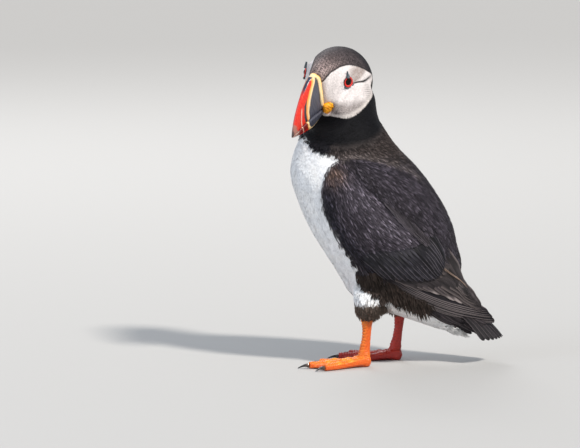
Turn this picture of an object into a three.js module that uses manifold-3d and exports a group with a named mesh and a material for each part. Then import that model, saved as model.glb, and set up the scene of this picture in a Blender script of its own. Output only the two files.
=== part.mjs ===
// An Atlantic puffin at life size, standing still with its head turned over its left side.
// Millimetres. The body faces +X, its left side is +Y, +Z is up and the feet stand on z = 0.

import * as THREE from 'three';
import { mergeVertices } from 'three/addons/utils/BufferGeometryUtils.js';
import Module from 'manifold-3d';

const wasm = await Module();
wasm.setup();

// ---- Driving dimensions ----

const GAP = 0.3; // between pieces that touch
const SIDES = { left: 1, right: -1 };

// Trunk and neck in side view: a point on the back, the one facing it on the breast, half the width.
const TRUNK_STATIONS = [
  { back: [12, 204], breast: [46, 186], halfWidth: 17 }, // inside the head
  { back: [3.5, 189], breast: [53, 171], halfWidth: 22.5 }, // throat
  { back: [0, 172], breast: [57, 160], halfWidth: 27 }, // collar
  { back: [-11.5, 154], breast: [62, 148.5], halfWidth: 32.5 }, // base of the neck
  { back: [-27, 138], breast: [64.5, 134], halfWidth: 38.5 }, // shoulders
  { back: [-41.5, 118], breast: [59.5, 116], halfWidth: 42 }, // breast
  { back: [-51.5, 98], breast: [50, 94], halfWidth: 42.5 }, // belly
  { back: [-55.5, 78], breast: [34, 69], halfWidth: 39.5 }, // thighs
  { back: [-57.5, 62], breast: [17, 43], halfWidth: 33 }, // vent
  { back: [-61, 49], breast: [-12, 33], halfWidth: 24 }, // rump
  { back: [-66, 39], breast: [-42, 22.5], halfWidth: 15 }, // tail coverts
  { back: [-70, 30], breast: [-61, 18.5], halfWidth: 7 } // tips of the tail coverts
];
const TRUNK_RINGS = 20;
const TRUNK_SIDES = 24;
const TRUNK_FULLNESS = 2.15; // exponent of the sections, where 2 is an ellipse

// Head frame: x forward along the mouth from the base of the bill, y to its left, z up.
const HEAD_ORIGIN = new THREE.Vector3(47.1, 16, 182.4);
const HEAD_YAW = 53.9; // degrees, towards the left side
const HEAD_PITCH = 21.9; // degrees, bill down
const HEAD_ROLL = 10.5; // degrees, crown leaning to the left side
const HEAD_STATIONS = [
  { x: -1.7, top: 25.8, bottom: -11.5, halfWidth: 8 }, // behind the bill
  { x: -7, top: 27.8, bottom: -14.5, halfWidth: 12.2 }, // forehead
  { x: -16, top: 29.6, bottom: -17.5, halfWidth: 17.6 }, // eyes
  { x: -27, top: 30.2, bottom: -19.5, halfWidth: 21.3 }, // cheeks
  { x: -37, top: 28.8, bottom: -20, halfWidth: 22.6 }, // crown
  { x: -47, top: 24.8, bottom: -18, halfWidth: 21.2 }, // hind crown
  { x: -55, top: 17.8, bottom: -11, halfWidth: 15.5 }, // nape
  { x: -59.5, top: 10, bottom: -2, halfWidth: 6.5 }
];
const HEAD_RINGS = 15;
const HEAD_SIDES = 22;
const HEAD_JOWL = 0.12; // how much wider the cheeks are than the crown

// Planes that part the flesh: a point in the body frame and the way the normal leans forward.
const HEAD_CUT = { point: new THREE.Vector3(28, 0, 171), lean: 12 };
const NECK_CUT = { point: new THREE.Vector3(25, 0, 150), lean: 8 };

// Bill in the head frame: the culmen, the mouth line and the keel in side view, and half widths.
const CULMEN = [
  [0.5, 24.2], [4.3, 25.6], [10, 23.9], [16.7, 18.9], [21.8, 14], [26.4, 8.2], [30.6, 1], [34.2, -7]
];
const MOUTH_LINE = [[0.5, -1.5], [10, -1.9], [18, -2.9], [26, -4.7], [34.2, -7.6]];
const KEEL = [[0.5, -8.7], [5, -11], [10.5, -12.3], [18, -11.8], [26, -10.2], [33.4, -8.4]];
const BILL_HALF_WIDTHS = [5.6, 5, 4.2, 3.2, 2.2, 0.7];
const BILL_RINGS = 10;
const BILL_SIDES = 12;
const BILL_RIDGE = 0.3; // how much narrower the culmen is than the cutting edge
const CERE = { from: -1.4, to: 2.4, thickness: 1.5, rings: 3 };
const BILL_LIPS = 0.4; // least height of half of the bill
const ROSETTE = {
  centre: [-3.2, 8.7, -1.2],
  radius: 4.2,
  thickness: 3.4,
  turn: 62,
  tilt: -14,
  edge: 0.6, // how round its rim is
  steps: 4
};
const ROUND_SIDES = 12; // of the eyes, their rings and the rosettes

// Eye frame: on the side of the head, z out of the face, y up the face.
const EYE = { centre: [-18, 17, 14], turn: 68, tilt: 6, ballRadius: 4.2, opening: 3.1, lid: 0.7 };
const BROW_PLATE = {
  halfBase: 3.1,
  height: 4.6,
  above: 3.7,
  thickness: 2.2,
  arch: 0.9, // rise of its lower edge over the eye
  waist: 1.2,
  halfTip: 0.4
};
const EYE_BAR = { halfLength: 3.6, halfHeight: 0.9, below: 5.1, thickness: 2, slant: 14, sunk: 0.6 };
const PLATE_SUNK = 0.6; // share of a plate's thickness that is inside the face

// Folded wing in side view, as front, lower and back edges; its layer lies on the trunk.
const WING_THICKNESS = 4;
const WING_RISE = 1.5; // its thickness along the back
const WING_OUTLINE = {
  start: [33, 146],
  curves: [
    [[44, 139], [46, 124], [41.5, 109]],
    [[37, 96], [28, 82], [11, 70]],
    [[-2, 64], [-22, 66], [-41, 66.5]],
    [[-48, 67], [-54, 69], [-59, 66]],
    [[-56, 88], [-36, 122], [0, 141]],
    [[12, 147], [24, 150], [33, 146]]
  ]
};
const PRIMARIES_OUTLINE = {
  start: [6, 65],
  curves: [
    [[-8, 57], [-22, 47], [-38, 39]],
    [[-52, 32], [-70, 32], [-80.5, 29]],
    [[-76, 40], [-66, 50], [-59, 57]],
    [[-52, 65], [-30, 62], [6, 65]]
  ]
};
// Folded primaries behind the trunk, seen from above: how far back, and how far from the mid-plane.
const PRIMARIES_PLAN = [[-28, 31], [-45, 24.5], [-60, 17.5], [-72, 11.5], [-86, 5.5]];
const PRIMARIES_THICKNESS = 2.2;
const PRIMARIES_STEPS = 10;
const OUTLINE_STEPS = 6;
const SLAB_DEPTH = 80; // past the widest part of the bird

// Tail: a shallow fan that droops to its sides.
const TAIL = {
  root: [-51, 45],
  tip: [-86.5, 17.5],
  bow: 3, // how far its middle stands over the straight line
  halfWidths: [10, 19],
  thicknesses: [4.5, 1.6],
  droops: [2, 9.5],
  rounding: 12, // how much shorter the outer feathers are
  thinning: 0.6, // of the outer feathers
  curl: 1.6, // exponent of the droop across the fan
  rings: 7,
  steps: 8
};

// Legs: ankle and toe root of each, and the way its toes point, in degrees towards the left side.
const LEGS = {
  left: { thigh: [9, 21, 54], ankle: [11, 20, 35], toeRoot: [13.5, 18, 7], heading: 12 },
  right: { thigh: [-14, -20, 54], ankle: [-16, -18.5, 34], toeRoot: [-12, -18, 7], heading: -10 }
};
const THIGH_RADII = [13, 12.6, 12, 10.3, 6.2];
const TARSUS_HALF_DEPTHS = [4.2, 3.2, 2.9, 3.4, 4];
const TARSUS_FLATNESS = 0.74; // width of the tarsus over its depth
const TARSUS_BOW = 0.8; // how far its middle stands back
const KNUCKLE = { top: 7.5, radius: 4.6, flatness: 0.85, back: 1 };
const TOES = {
  inner: { spread: -27, length: 31 }, // degrees outwards
  middle: { spread: -2, length: 39 },
  outer: { spread: 24, length: 36 }
};
const TOE_RADII = [4, 2.9, 2.5, 2.7, 2.3];
const TOE_HEIGHT = 1.9; // of the middle of a toe over the floor
const TOE_HEEL = { back: 2.5, height: 3.9 };
const TOE_PAD = { along: 0.3, raised: 0.9 };
const TOE_JOINT = 0.65; // share of the toe's length
const TOE_SIDES = 6;
const WEB = { thickness: 1.1, underside: 0.5, dip: 0.82, heel: -3 };
const CLAW = { length: 8, radius: 1.7, tip: 0.35, drop: 0.35, root: 2.1, arch: 0.9, steps: 4, sides: 6 };

const CUTTER_SIZE = 600; // a box that stands for everything beyond a plane
const SPLINE_SAMPLES = 80;

const COLOURS = {
  plumage: [0x25211f, 0.75],
  cheek: [0xc9c9cc, 0.8],
  breast: [0xe6e6e6, 0.85],
  thigh: [0x9c8f84, 0.85],
  billTip: [0xd8432a, 0.45],
  cere: [0xe8c48c, 0.5],
  rosette: [0xe79a1e, 0.5],
  eye: [0x120c0a, 0.08],
  eyeRing: [0xd22413, 0.45],
  horn: [0x46545f, 0.5],
  skin: [0xe8562a, 0.5],
  claw: [0x191716, 0.35]
};

// ---- Solids ----

// A closed geometry as a solid, turned inside out first if its faces point in.
function solidOf(geometry) {
  const bare = geometry.clone();
  bare.deleteAttribute('normal');
  bare.deleteAttribute('uv');
  const merged = mergeVertices(bare, 1e-4);
  const mesh = new wasm.Mesh({
    numProp: 3,
    vertProperties: new Float32Array(merged.attributes.position.array),
    triVerts: new Uint32Array(merged.index.array)
  });
  const solid = new wasm.Manifold(mesh);
  return solid.volume() > 0 ? solid : new wasm.Manifold(flipped(mesh));
}

function flipped({ vertProperties, triVerts }) {
  const turned = new Uint32Array(triVerts.length);
  for (let i = 0; i < triVerts.length; i += 3) {
    turned.set([triVerts[i], triVerts[i + 2], triVerts[i + 1]], i);
  }
  return new wasm.Mesh({ numProp: 3, vertProperties, triVerts: turned });
}

function geometryOf(solid) {
  const { vertProperties, triVerts } = solid.getMesh();
  const geometry = new THREE.BufferGeometry();
  geometry.setAttribute('position', new THREE.BufferAttribute(new Float32Array(vertProperties), 3));
  geometry.setIndex(new THREE.BufferAttribute(new Uint32Array(triVerts), 1));
  geometry.computeVertexNormals();
  return geometry;
}

function moved(solid, matrix) {
  return solidOf(geometryOf(solid).applyMatrix4(matrix));
}

// Rings of equal count joined into a closed skin, each end closed by a fan.
function loft(rings) {
  const count = rings[0].length;
  const points = rings.flat();
  const indices = [];
  for (let r = 0; r < rings.length - 1; r++) {
    for (let i = 0; i < count; i++) {
      const a = r * count + i;
      const b = r * count + ((i + 1) % count);
      indices.push(a, b, a + count, b, b + count, a + count);
    }
  }
  for (const [ring, first] of [[rings[0], 0], [rings.at(-1), (rings.length - 1) * count]]) {
    const centre = points.length;
    points.push(middleOf(ring));
    for (let i = 0; i < count; i++) {
      const pair = [first + i, first + ((i + 1) % count)];
      indices.push(centre, ...(first === 0 ? pair.reverse() : pair));
    }
  }
  const geometry = new THREE.BufferGeometry().setFromPoints(points);
  geometry.setIndex(indices);
  return solidOf(geometry);
}

// The biggest of the pieces that a cut leaves.
function largest(solid) {
  return solid.decompose().reduce((best, piece) => (piece.volume() > best.volume() ? piece : best));
}

function middleOf(points) {
  return points.reduce((sum, point) => sum.add(point), new THREE.Vector3()).divideScalar(points.length);
}

// A smooth run through a few points, read at 0 to 1.
function runThrough(points) {
  const curve = new THREE.CatmullRomCurve3(points.map((p) => new THREE.Vector3(...p)));
  return (t) => curve.getPoint(t);
}

function valueThrough(values) {
  const runAt = runThrough(values.map((value) => [value, 0, 0]));
  return (t) => runAt(t).x;
}

// A smooth height over x, through points listed from low x to high x or the other way.
function heightOver(points) {
  const curve = new THREE.SplineCurve(points.map(([x, y]) => new THREE.Vector2(x, y)));
  const samples = curve.getPoints(SPLINE_SAMPLES);
  const rising = samples.at(-1).x > samples[0].x;
  return (x) => {
    const next = samples.findIndex((p) => (rising ? p.x >= x : p.x <= x));
    if (next <= 0) return next === 0 ? samples[0].y : samples.at(-1).y;
    const [a, b] = [samples[next - 1], samples[next]];
    return a.y + ((b.y - a.y) * (x - a.x)) / (b.x - a.x);
  };
}

function power(value, exponent) {
  return Math.sign(value) * Math.abs(value) ** exponent;
}

// Everything on the side of a plane that its normal points to.
function halfSpace(point, normal) {
  const turn = new THREE.Quaternion().setFromUnitVectors(new THREE.Vector3(0, 0, 1), normal);
  const middle = point.clone().addScaledVector(normal, CUTTER_SIZE / 2);
  const matrix = new THREE.Matrix4().compose(middle, turn, new THREE.Vector3(1, 1, 1));
  return solidOf(new THREE.BoxGeometry(CUTTER_SIZE, CUTTER_SIZE, CUTTER_SIZE).applyMatrix4(matrix));
}

function leaning(degrees) {
  const angle = THREE.MathUtils.degToRad(degrees);
  return new THREE.Vector3(Math.sin(angle), 0, Math.cos(angle));
}

// A round or flattened limb through a few places, with its half depth at each of a few stations.
function limb(places, halfDepths, { rings, sides, flatness = 1, grow = 0 }) {
  const path = new THREE.CatmullRomCurve3(places.map((p) => new THREE.Vector3(...p)));
  const depthAt = valueThrough(halfDepths);
  const sideways = new THREE.Vector3(0, 1, 0);
  const layers = [];
  for (let r = 0; r <= rings; r++) {
    const centre = path.getPoint(r / rings);
    const along = path.getTangent(r / rings);
    const across = sideways.clone().addScaledVector(along, -sideways.dot(along)).normalize();
    const deep = new THREE.Vector3().crossVectors(along, across);
    const halfDepth = depthAt(r / rings) + grow;
    const ring = [];
    for (let i = 0; i < sides; i++) {
      const angle = (2 * Math.PI * i) / sides;
      const point = centre.clone().addScaledVector(deep, halfDepth * Math.cos(angle));
      ring.push(point.addScaledVector(across, flatness * halfDepth * Math.sin(angle)));
    }
    layers.push(ring);
  }
  return loft(layers);
}

// ---- Trunk, neck and head ----

function trunkAndNeck({ grow = 0, growBack = grow } = {}) {
  const backAt = runThrough(TRUNK_STATIONS.map((s) => [s.back[0], s.back[1], 0]));
  const breastAt = runThrough(TRUNK_STATIONS.map((s) => [s.breast[0], s.breast[1], 0]));
  const widthAt = valueThrough(TRUNK_STATIONS.map((s) => s.halfWidth));
  const rings = [];
  for (let r = 0; r <= TRUNK_RINGS; r++) {
    const t = r / TRUNK_RINGS;
    const back = backAt(t);
    const breast = breastAt(t);
    const across = back.clone().sub(breast).normalize();
    back.addScaledVector(across, growBack);
    breast.addScaledVector(across, -grow);
    const ring = [];
    for (let i = 0; i < TRUNK_SIDES; i++) {
      const angle = (2 * Math.PI * i) / TRUNK_SIDES;
      const deep = 0.5 + 0.5 * power(Math.cos(angle), 2 / TRUNK_FULLNESS);
      const wide = (widthAt(t) + grow) * power(Math.sin(angle), 2 / TRUNK_FULLNESS);
      const point = breast.clone().lerp(back, deep);
      ring.push(new THREE.Vector3(point.x, wide, point.y));
    }
    rings.push(ring);
  }
  return loft(rings);
}

function headShape() {
  const edgesAt = runThrough(HEAD_STATIONS.map((s) => [s.top, s.bottom, s.halfWidth]));
  const placeAt = valueThrough(HEAD_STATIONS.map((s) => s.x));
  const rings = [];
  for (let r = 0; r <= HEAD_RINGS; r++) {
    const t = r / HEAD_RINGS;
    const { x: top, y: bottom, z: halfWidth } = edgesAt(t);
    const ring = [];
    for (let i = 0; i < HEAD_SIDES; i++) {
      const angle = (2 * Math.PI * i) / HEAD_SIDES;
      const up = power(Math.cos(angle), 2 / TRUNK_FULLNESS);
      const side = halfWidth * power(Math.sin(angle), 2 / TRUNK_FULLNESS) * (1 - HEAD_JOWL * up);
      ring.push(new THREE.Vector3(placeAt(t), side, (top + bottom) / 2 + (up * (top - bottom)) / 2));
    }
    rings.push(ring);
  }
  return loft(rings);
}

// ---- Face and bill, in the head frame ----

function billPart(upperEdge, lowerEdge, [from, to], { ridge = 0, grow = 0, steps = BILL_RINGS } = {}) {
  const topAt = heightOver(upperEdge);
  const bottomAt = heightOver(lowerEdge);
  const widthAt = valueThrough(BILL_HALF_WIDTHS);
  const tip = CULMEN.at(-1)[0];
  const rings = [];
  for (let r = 0; r <= steps; r++) {
    const x = from + ((to - from) * r) / steps;
    const top = topAt(x) + grow;
    const bottom = Math.min(bottomAt(x) - grow, top - BILL_LIPS);
    const halfWidth = widthAt(THREE.MathUtils.clamp(x / tip, 0, 1)) + grow;
    const ring = [];
    for (let i = 0; i < BILL_SIDES; i++) {
      const angle = (2 * Math.PI * i) / BILL_SIDES;
      const up = Math.cos(angle);
      const side = halfWidth * Math.sin(angle) * (1 - ridge * up);
      ring.push(new THREE.Vector3(x, side, (top + bottom) / 2 + (up * (top - bottom)) / 2));
    }
    rings.push(ring);
  }
  return loft(rings);
}

function lowered(points, drop) {
  return points.map(([x, z]) => [x, z - drop]);
}

function cere() {
  const { from, to, thickness, rings } = CERE;
  const shape = { ridge: BILL_RIDGE, steps: rings };
  const band = billPart(CULMEN, MOUTH_LINE, [from, to], { ...shape, grow: thickness });
  const core = billPart(CULMEN, MOUTH_LINE, [from - 1, to + 1], { ...shape, grow: GAP });
  const mouth = new THREE.Vector3(0, 0, MOUTH_LINE[0][1] + GAP);
  return band.subtract(core).intersect(halfSpace(mouth, new THREE.Vector3(0, 0, 1)));
}

// A frame on the side of the head: z out of the face, x forwards, y up.
function faceFrame(centre, turn, tilt, side) {
  const yaw = THREE.MathUtils.degToRad(turn);
  const pitch = THREE.MathUtils.degToRad(tilt);
  const level = new THREE.Vector2(Math.cos(yaw), side * Math.sin(yaw)).multiplyScalar(Math.cos(pitch));
  const out = new THREE.Vector3(level.x, level.y, Math.sin(pitch));
  const up = new THREE.Vector3(0, 0, 1).addScaledVector(out, -out.z).normalize();
  const ahead = new THREE.Vector3().crossVectors(up, out);
  const place = new THREE.Vector3(centre[0], side * centre[1], centre[2]);
  return new THREE.Matrix4().makeBasis(ahead, up, out).setPosition(place);
}

function rosette(side, grow = 0) {
  const { centre, radius, thickness, turn, tilt, edge, steps } = ROSETTE;
  const half = thickness / 2 + grow;
  const profile = [new THREE.Vector2(0, -half)];
  for (let i = 0; i <= steps; i++) {
    const angle = -Math.PI / 2 + (Math.PI * i) / steps;
    const inset = edge * half * (1 - Math.cos(angle));
    profile.push(new THREE.Vector2(radius + grow - inset, half * Math.sin(angle)));
  }
  profile.push(new THREE.Vector2(0, half));
  const disc = new THREE.LatheGeometry(profile, ROUND_SIDES).rotateX(Math.PI / 2);
  return solidOf(disc.applyMatrix4(faceFrame(centre, turn, tilt, side)));
}

function eyeball(frame, grow = 0) {
  const ball = new THREE.SphereGeometry(EYE.ballRadius + grow, ROUND_SIDES, (2 * ROUND_SIDES) / 3);
  return solidOf(ball.translate(0, 0, -eyeDepth()).applyMatrix4(frame));
}

function eyeDepth() {
  return Math.sqrt(EYE.ballRadius ** 2 - EYE.opening ** 2);
}

// The socket that holds the eyeball and its ring: a round pit open to the front.
function eyeSocket(frame) {
  const radius = EYE.ballRadius + GAP;
  const steps = 3;
  const profile = [];
  for (let i = 0; i <= steps; i++) {
    const angle = (Math.PI / 2) * (i / steps);
    profile.push(new THREE.Vector2(radius * Math.sin(angle), -eyeDepth() - radius * Math.cos(angle)));
  }
  profile.push(new THREE.Vector2(radius, radius), new THREE.Vector2(0, radius));
  const pit = new THREE.LatheGeometry(profile, ROUND_SIDES).rotateX(Math.PI / 2);
  return solidOf(pit.applyMatrix4(frame));
}

function eyeRing(frame) {
  const ring = new THREE.TorusGeometry(EYE.opening + EYE.lid / 2, EYE.lid, ROUND_SIDES / 3, ROUND_SIDES);
  return solidOf(ring.applyMatrix4(frame)).subtract(eyeball(frame, GAP));
}

// A flat plate of the given outline, standing half out of the face.
function facePlate(shape, thickness, frame) {
  const plate = new THREE.ExtrudeGeometry(shape, { depth: thickness, bevelEnabled: false, curveSegments: 3 });
  return solidOf(plate.translate(0, 0, -thickness * PLATE_SUNK).applyMatrix4(frame));
}

function browPlate(frame, grow = 0) {
  const { halfBase, height, above, thickness, arch, waist, halfTip } = BROW_PLATE;
  const [base, middle, top] = [above - grow, above + height / 2, above + height + grow];
  const shape = new THREE.Shape();
  shape.moveTo(-halfBase - grow, base);
  shape.quadraticCurveTo(0, base + arch, halfBase + grow, base);
  shape.quadraticCurveTo(waist + grow, middle, halfTip + grow, top);
  shape.lineTo(-halfTip - grow, top);
  shape.quadraticCurveTo(-waist - grow, middle, -halfBase - grow, base);
  return facePlate(shape, thickness + 2 * grow, frame);
}

function eyeBar(frame, grow = 0) {
  const { halfLength, halfHeight, below, thickness, slant, sunk } = EYE_BAR;
  const halfBar = halfHeight + grow;
  const shape = new THREE.Shape();
  shape.absarc(halfLength, 0, halfBar, -Math.PI / 2, Math.PI / 2);
  shape.absarc(-halfLength, 0, halfBar, Math.PI / 2, (3 * Math.PI) / 2);
  const lie = new THREE.Matrix4().makeRotationZ(THREE.MathUtils.degToRad(-slant));
  lie.setPosition(0, -below, -sunk);
  return facePlate(shape, thickness + 2 * grow, frame.clone().multiply(lie));
}

// ---- Wings and tail ----

// An outline in side view as a slab on one side of the mid-plane.
function sideSlab({ start, curves }, side) {
  const shape = new THREE.Shape();
  shape.moveTo(...start);
  for (const [a, b, end] of curves) {
    shape.bezierCurveTo(...a, ...b, ...end);
  }
  const settings = { depth: SLAB_DEPTH, bevelEnabled: false, curveSegments: OUTLINE_STEPS };
  const slab = new THREE.ExtrudeGeometry(shape, settings).rotateX(Math.PI / 2);
  return solidOf(slab.translate(0, side > 0 ? SLAB_DEPTH + 1 : -1, 0));
}

function wing(side, layer, trunkSkin) {
  return sideSlab(WING_OUTLINE, side).intersect(layer).subtract(trunkSkin);
}

// The closed fan of primaries: it lies on the trunk and runs on behind it as a curved blade.
function primaries(side, layer, trunkSkin) {
  const distanceAt = heightOver(PRIMARIES_PLAN);
  const shape = new THREE.Shape();
  const [first, last] = [PRIMARIES_PLAN[0][0], PRIMARIES_PLAN.at(-1)[0]];
  const xAt = (i) => first + ((last - first) * i) / PRIMARIES_STEPS;
  shape.moveTo(first, side * distanceAt(first));
  for (let i = 1; i <= PRIMARIES_STEPS; i++) {
    shape.lineTo(xAt(i), side * distanceAt(xAt(i)));
  }
  for (let i = PRIMARIES_STEPS; i >= 0; i--) {
    shape.lineTo(xAt(i), side * (distanceAt(xAt(i)) - PRIMARIES_THICKNESS));
  }
  const height = WING_OUTLINE.start[1];
  const blade = solidOf(new THREE.ExtrudeGeometry(shape, { depth: height, bevelEnabled: false }));
  const fan = sideSlab(PRIMARIES_OUTLINE, side).intersect(layer.add(blade));
  return largest(fan.subtract(trunkSkin).subtract(tail(GAP)));
}

function tail(grow = 0) {
  const { root, tip, bow, halfWidths, thicknesses, droops, rounding, thinning, curl, rings, steps } = TAIL;
  const along = new THREE.Vector2(tip[0] - root[0], tip[1] - root[1]).normalize();
  const down = new THREE.Vector2(-along.y, along.x);
  const layers = [];
  for (let r = 0; r <= rings; r++) {
    const t = r / rings;
    const lerp = ([a, b]) => a + (b - a) * t;
    const droop = droops[0] + (droops[1] - droops[0]) * Math.sqrt(t);
    const raised = 4 * bow * t * (1 - t);
    const ahead = r === 0 ? grow : 0;
    const ring = [];
    for (const face of [1, -1]) {
      for (let i = 0; i <= steps; i++) {
        const across = face * (-1 + (2 * i) / steps);
        const half = (lerp(thicknesses) / 2) * (1 - thinning * across ** 4) + grow;
        const short = rounding * t * across * across + ahead;
        const sunk = droop * Math.abs(across) ** curl - face * half - raised;
        const x = lerp([root[0], tip[0]]) - along.x * short + down.x * sunk;
        const z = lerp([root[1], tip[1]]) - along.y * short + down.y * sunk;
        ring.push(new THREE.Vector3(x, across * (lerp(halfWidths) + grow), z));
      }
    }
    layers.push(ring);
  }
  return loft(layers);
}

// ---- Legs ----

function thigh({ thigh: hip, ankle }, grow = 0) {
  const middle = hip.map((value, i) => (value + ankle[i]) / 2);
  const below = [ankle[0], ankle[1], ankle[2] - 1];
  return limb([hip, middle, below], THIGH_RADII, { rings: 6, sides: 12, grow });
}

function tarsus({ ankle, toeRoot }) {
  const middle = ankle.map((value, i) => (value + toeRoot[i]) / 2);
  middle[0] -= TARSUS_BOW;
  const foot = [toeRoot[0], toeRoot[1], toeRoot[2] - 2];
  return limb([ankle, middle, foot], TARSUS_HALF_DEPTHS, { rings: 7, sides: 9, flatness: TARSUS_FLATNESS });
}

function toeEnd({ spread, length }) {
  const angle = THREE.MathUtils.degToRad(spread);
  return [length * Math.cos(angle), length * Math.sin(angle), TOE_HEIGHT];
}

// In the foot's frame: the origin is on the floor under the toe root, x the way the foot points.
function foot(side) {
  const pieces = [];
  const shape = new THREE.Shape();
  shape.moveTo(WEB.heel, 0);
  const ends = Object.values(TOES).map((toe) => toeEnd({ ...toe, spread: side * toe.spread }));
  ends.forEach(([x, y], i) => {
    if (i > 0) {
      const [px, py] = ends[i - 1];
      shape.quadraticCurveTo(((px + x) / 2) * WEB.dip, ((py + y) / 2) * WEB.dip, x, y);
    } else {
      shape.lineTo(x, y);
    }
    const heel = [-TOE_HEEL.back, 0, TOE_HEEL.height];
    const pad = [x * TOE_PAD.along, y * TOE_PAD.along, TOE_HEIGHT + TOE_PAD.raised];
    const joint = [x * TOE_JOINT, y * TOE_JOINT, TOE_HEIGHT];
    pieces.push(limb([heel, pad, joint, [x, y, TOE_HEIGHT]], TOE_RADII, { rings: 4, sides: TOE_SIDES }));
  });
  const settings = { depth: WEB.thickness, bevelEnabled: false, curveSegments: 3 };
  const web = new THREE.ExtrudeGeometry(shape, settings);
  pieces.push(solidOf(web.translate(0, 0, WEB.underside)));
  const knuckle = new THREE.SphereGeometry(KNUCKLE.radius, 8, 6).scale(1, KNUCKLE.flatness, 1);
  pieces.push(solidOf(knuckle.translate(-KNUCKLE.back, 0, KNUCKLE.top - KNUCKLE.radius + GAP)));
  const floor = new THREE.Vector3(0, 0, 0);
  const crown = new THREE.Vector3(0, 0, KNUCKLE.top - GAP);
  const down = new THREE.Vector3(0, 0, -1);
  return pieces
    .reduce((whole, piece) => whole.add(piece))
    .subtract(halfSpace(floor, down))
    .intersect(halfSpace(crown, down));
}

// A claw that carries on from a toe and curves down to the floor.
function claw({ spread, length }) {
  const { radius, tip, drop, root, arch, steps, sides } = CLAW;
  const rings = [];
  for (let r = 0; r <= steps; r++) {
    const t = r / steps;
    const size = radius + (tip - radius) * t ** 0.8;
    const height = root + arch * Math.sin(Math.PI * t) * (1 - t);
    const centre = new THREE.Vector3(length + GAP + CLAW.length * t, 0, height);
    centre.z += (size + drop - centre.z) * t * t;
    const ring = [];
    for (let i = 0; i < sides; i++) {
      const angle = (2 * Math.PI * i) / sides;
      ring.push(new THREE.Vector3(centre.x, 0.8 * size * Math.cos(angle), centre.z + size * Math.sin(angle)));
    }
    rings.push(ring);
  }
  const turn = new THREE.Matrix4().makeRotationZ(THREE.MathUtils.degToRad(spread));
  return moved(loft(rings), turn);
}

// ---- The bird ----

function node(name, solid, [color, roughness]) {
  const material = new THREE.MeshStandardMaterial({ color, roughness, metalness: 0 });
  const mesh = new THREE.Mesh(geometryOf(solid), material);
  mesh.name = name;
  return mesh;
}

function leg(name, side) {
  const measures = LEGS[name];
  const upper = halfSpace(new THREE.Vector3(0, 0, measures.ankle[2]), new THREE.Vector3(0, 0, 1));
  const lower = halfSpace(new THREE.Vector3(0, 0, measures.ankle[2] - GAP), new THREE.Vector3(0, 0, -1));
  const sole = halfSpace(new THREE.Vector3(0, 0, KNUCKLE.top), new THREE.Vector3(0, 0, 1));
  const group = new THREE.Group();
  group.add(node(`thigh_${name}`, thigh(measures).intersect(upper), COLOURS.thigh));
  group.add(node(`tarsus_${name}`, tarsus(measures).intersect(lower).intersect(sole), COLOURS.skin));
  const footGroup = new THREE.Group();
  footGroup.position.set(measures.toeRoot[0], measures.toeRoot[1], 0);
  footGroup.rotation.z = THREE.MathUtils.degToRad(measures.heading);
  footGroup.add(node(`foot_${name}`, foot(side), COLOURS.skin));
  for (const [toeName, toe] of Object.entries(TOES)) {
    const turned = { ...toe, spread: side * toe.spread };
    footGroup.add(node(`claw_${name}_${toeName}`, claw(turned), COLOURS.claw));
  }
  group.add(footGroup);
  return group;
}

function headGroup(flesh) {
  const group = new THREE.Group();
  group.position.copy(HEAD_ORIGIN);
  const [yaw, pitch, roll] = [HEAD_YAW, HEAD_PITCH, -HEAD_ROLL].map(THREE.MathUtils.degToRad);
  group.rotation.set(roll, pitch, yaw, 'ZYX');
  group.updateMatrix();

  const [upperTip, lowerTip] = [CULMEN.at(-1)[0], KEEL.at(-1)[0]];
  const upperBill = billPart(CULMEN, MOUTH_LINE, [CERE.from, upperTip], { ridge: BILL_RIDGE });
  const lowerBill = billPart(lowered(MOUTH_LINE, GAP), KEEL, [CERE.from, lowerTip], { ridge: -BILL_RIDGE });
  let head = headShape().add(moved(flesh, group.matrix.clone().invert()));
  head = head.subtract(halfSpace(new THREE.Vector3(CERE.from - GAP, 0, 0), new THREE.Vector3(1, 0, 0)));
  const features = [];
  for (const [name, side] of Object.entries(SIDES)) {
    const frame = faceFrame(EYE.centre, EYE.turn, EYE.tilt, side);
    features.push(node(`eye_${name}`, eyeball(frame), COLOURS.eye));
    features.push(node(`eye_ring_${name}`, eyeRing(frame), COLOURS.eyeRing));
    features.push(node(`brow_plate_${name}`, browPlate(frame).subtract(eyeSocket(frame)), COLOURS.horn));
    features.push(node(`eye_bar_${name}`, eyeBar(frame).subtract(eyeSocket(frame)), COLOURS.horn));
    features.push(node(`rosette_${name}`, rosette(side), COLOURS.rosette));
    const seats = [eyeSocket(frame), browPlate(frame, GAP), eyeBar(frame, GAP), rosette(side, GAP)];
    head = seats.reduce((rest, seat) => rest.subtract(seat), head);
  }
  group.add(node('head', head, COLOURS.plumage));
  group.add(node('bill_upper', upperBill, COLOURS.billTip));
  group.add(node('bill_lower', lowerBill, COLOURS.billTip));
  group.add(node('cere', cere(), COLOURS.cere));
  group.add(...features);
  return group;
}

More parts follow.
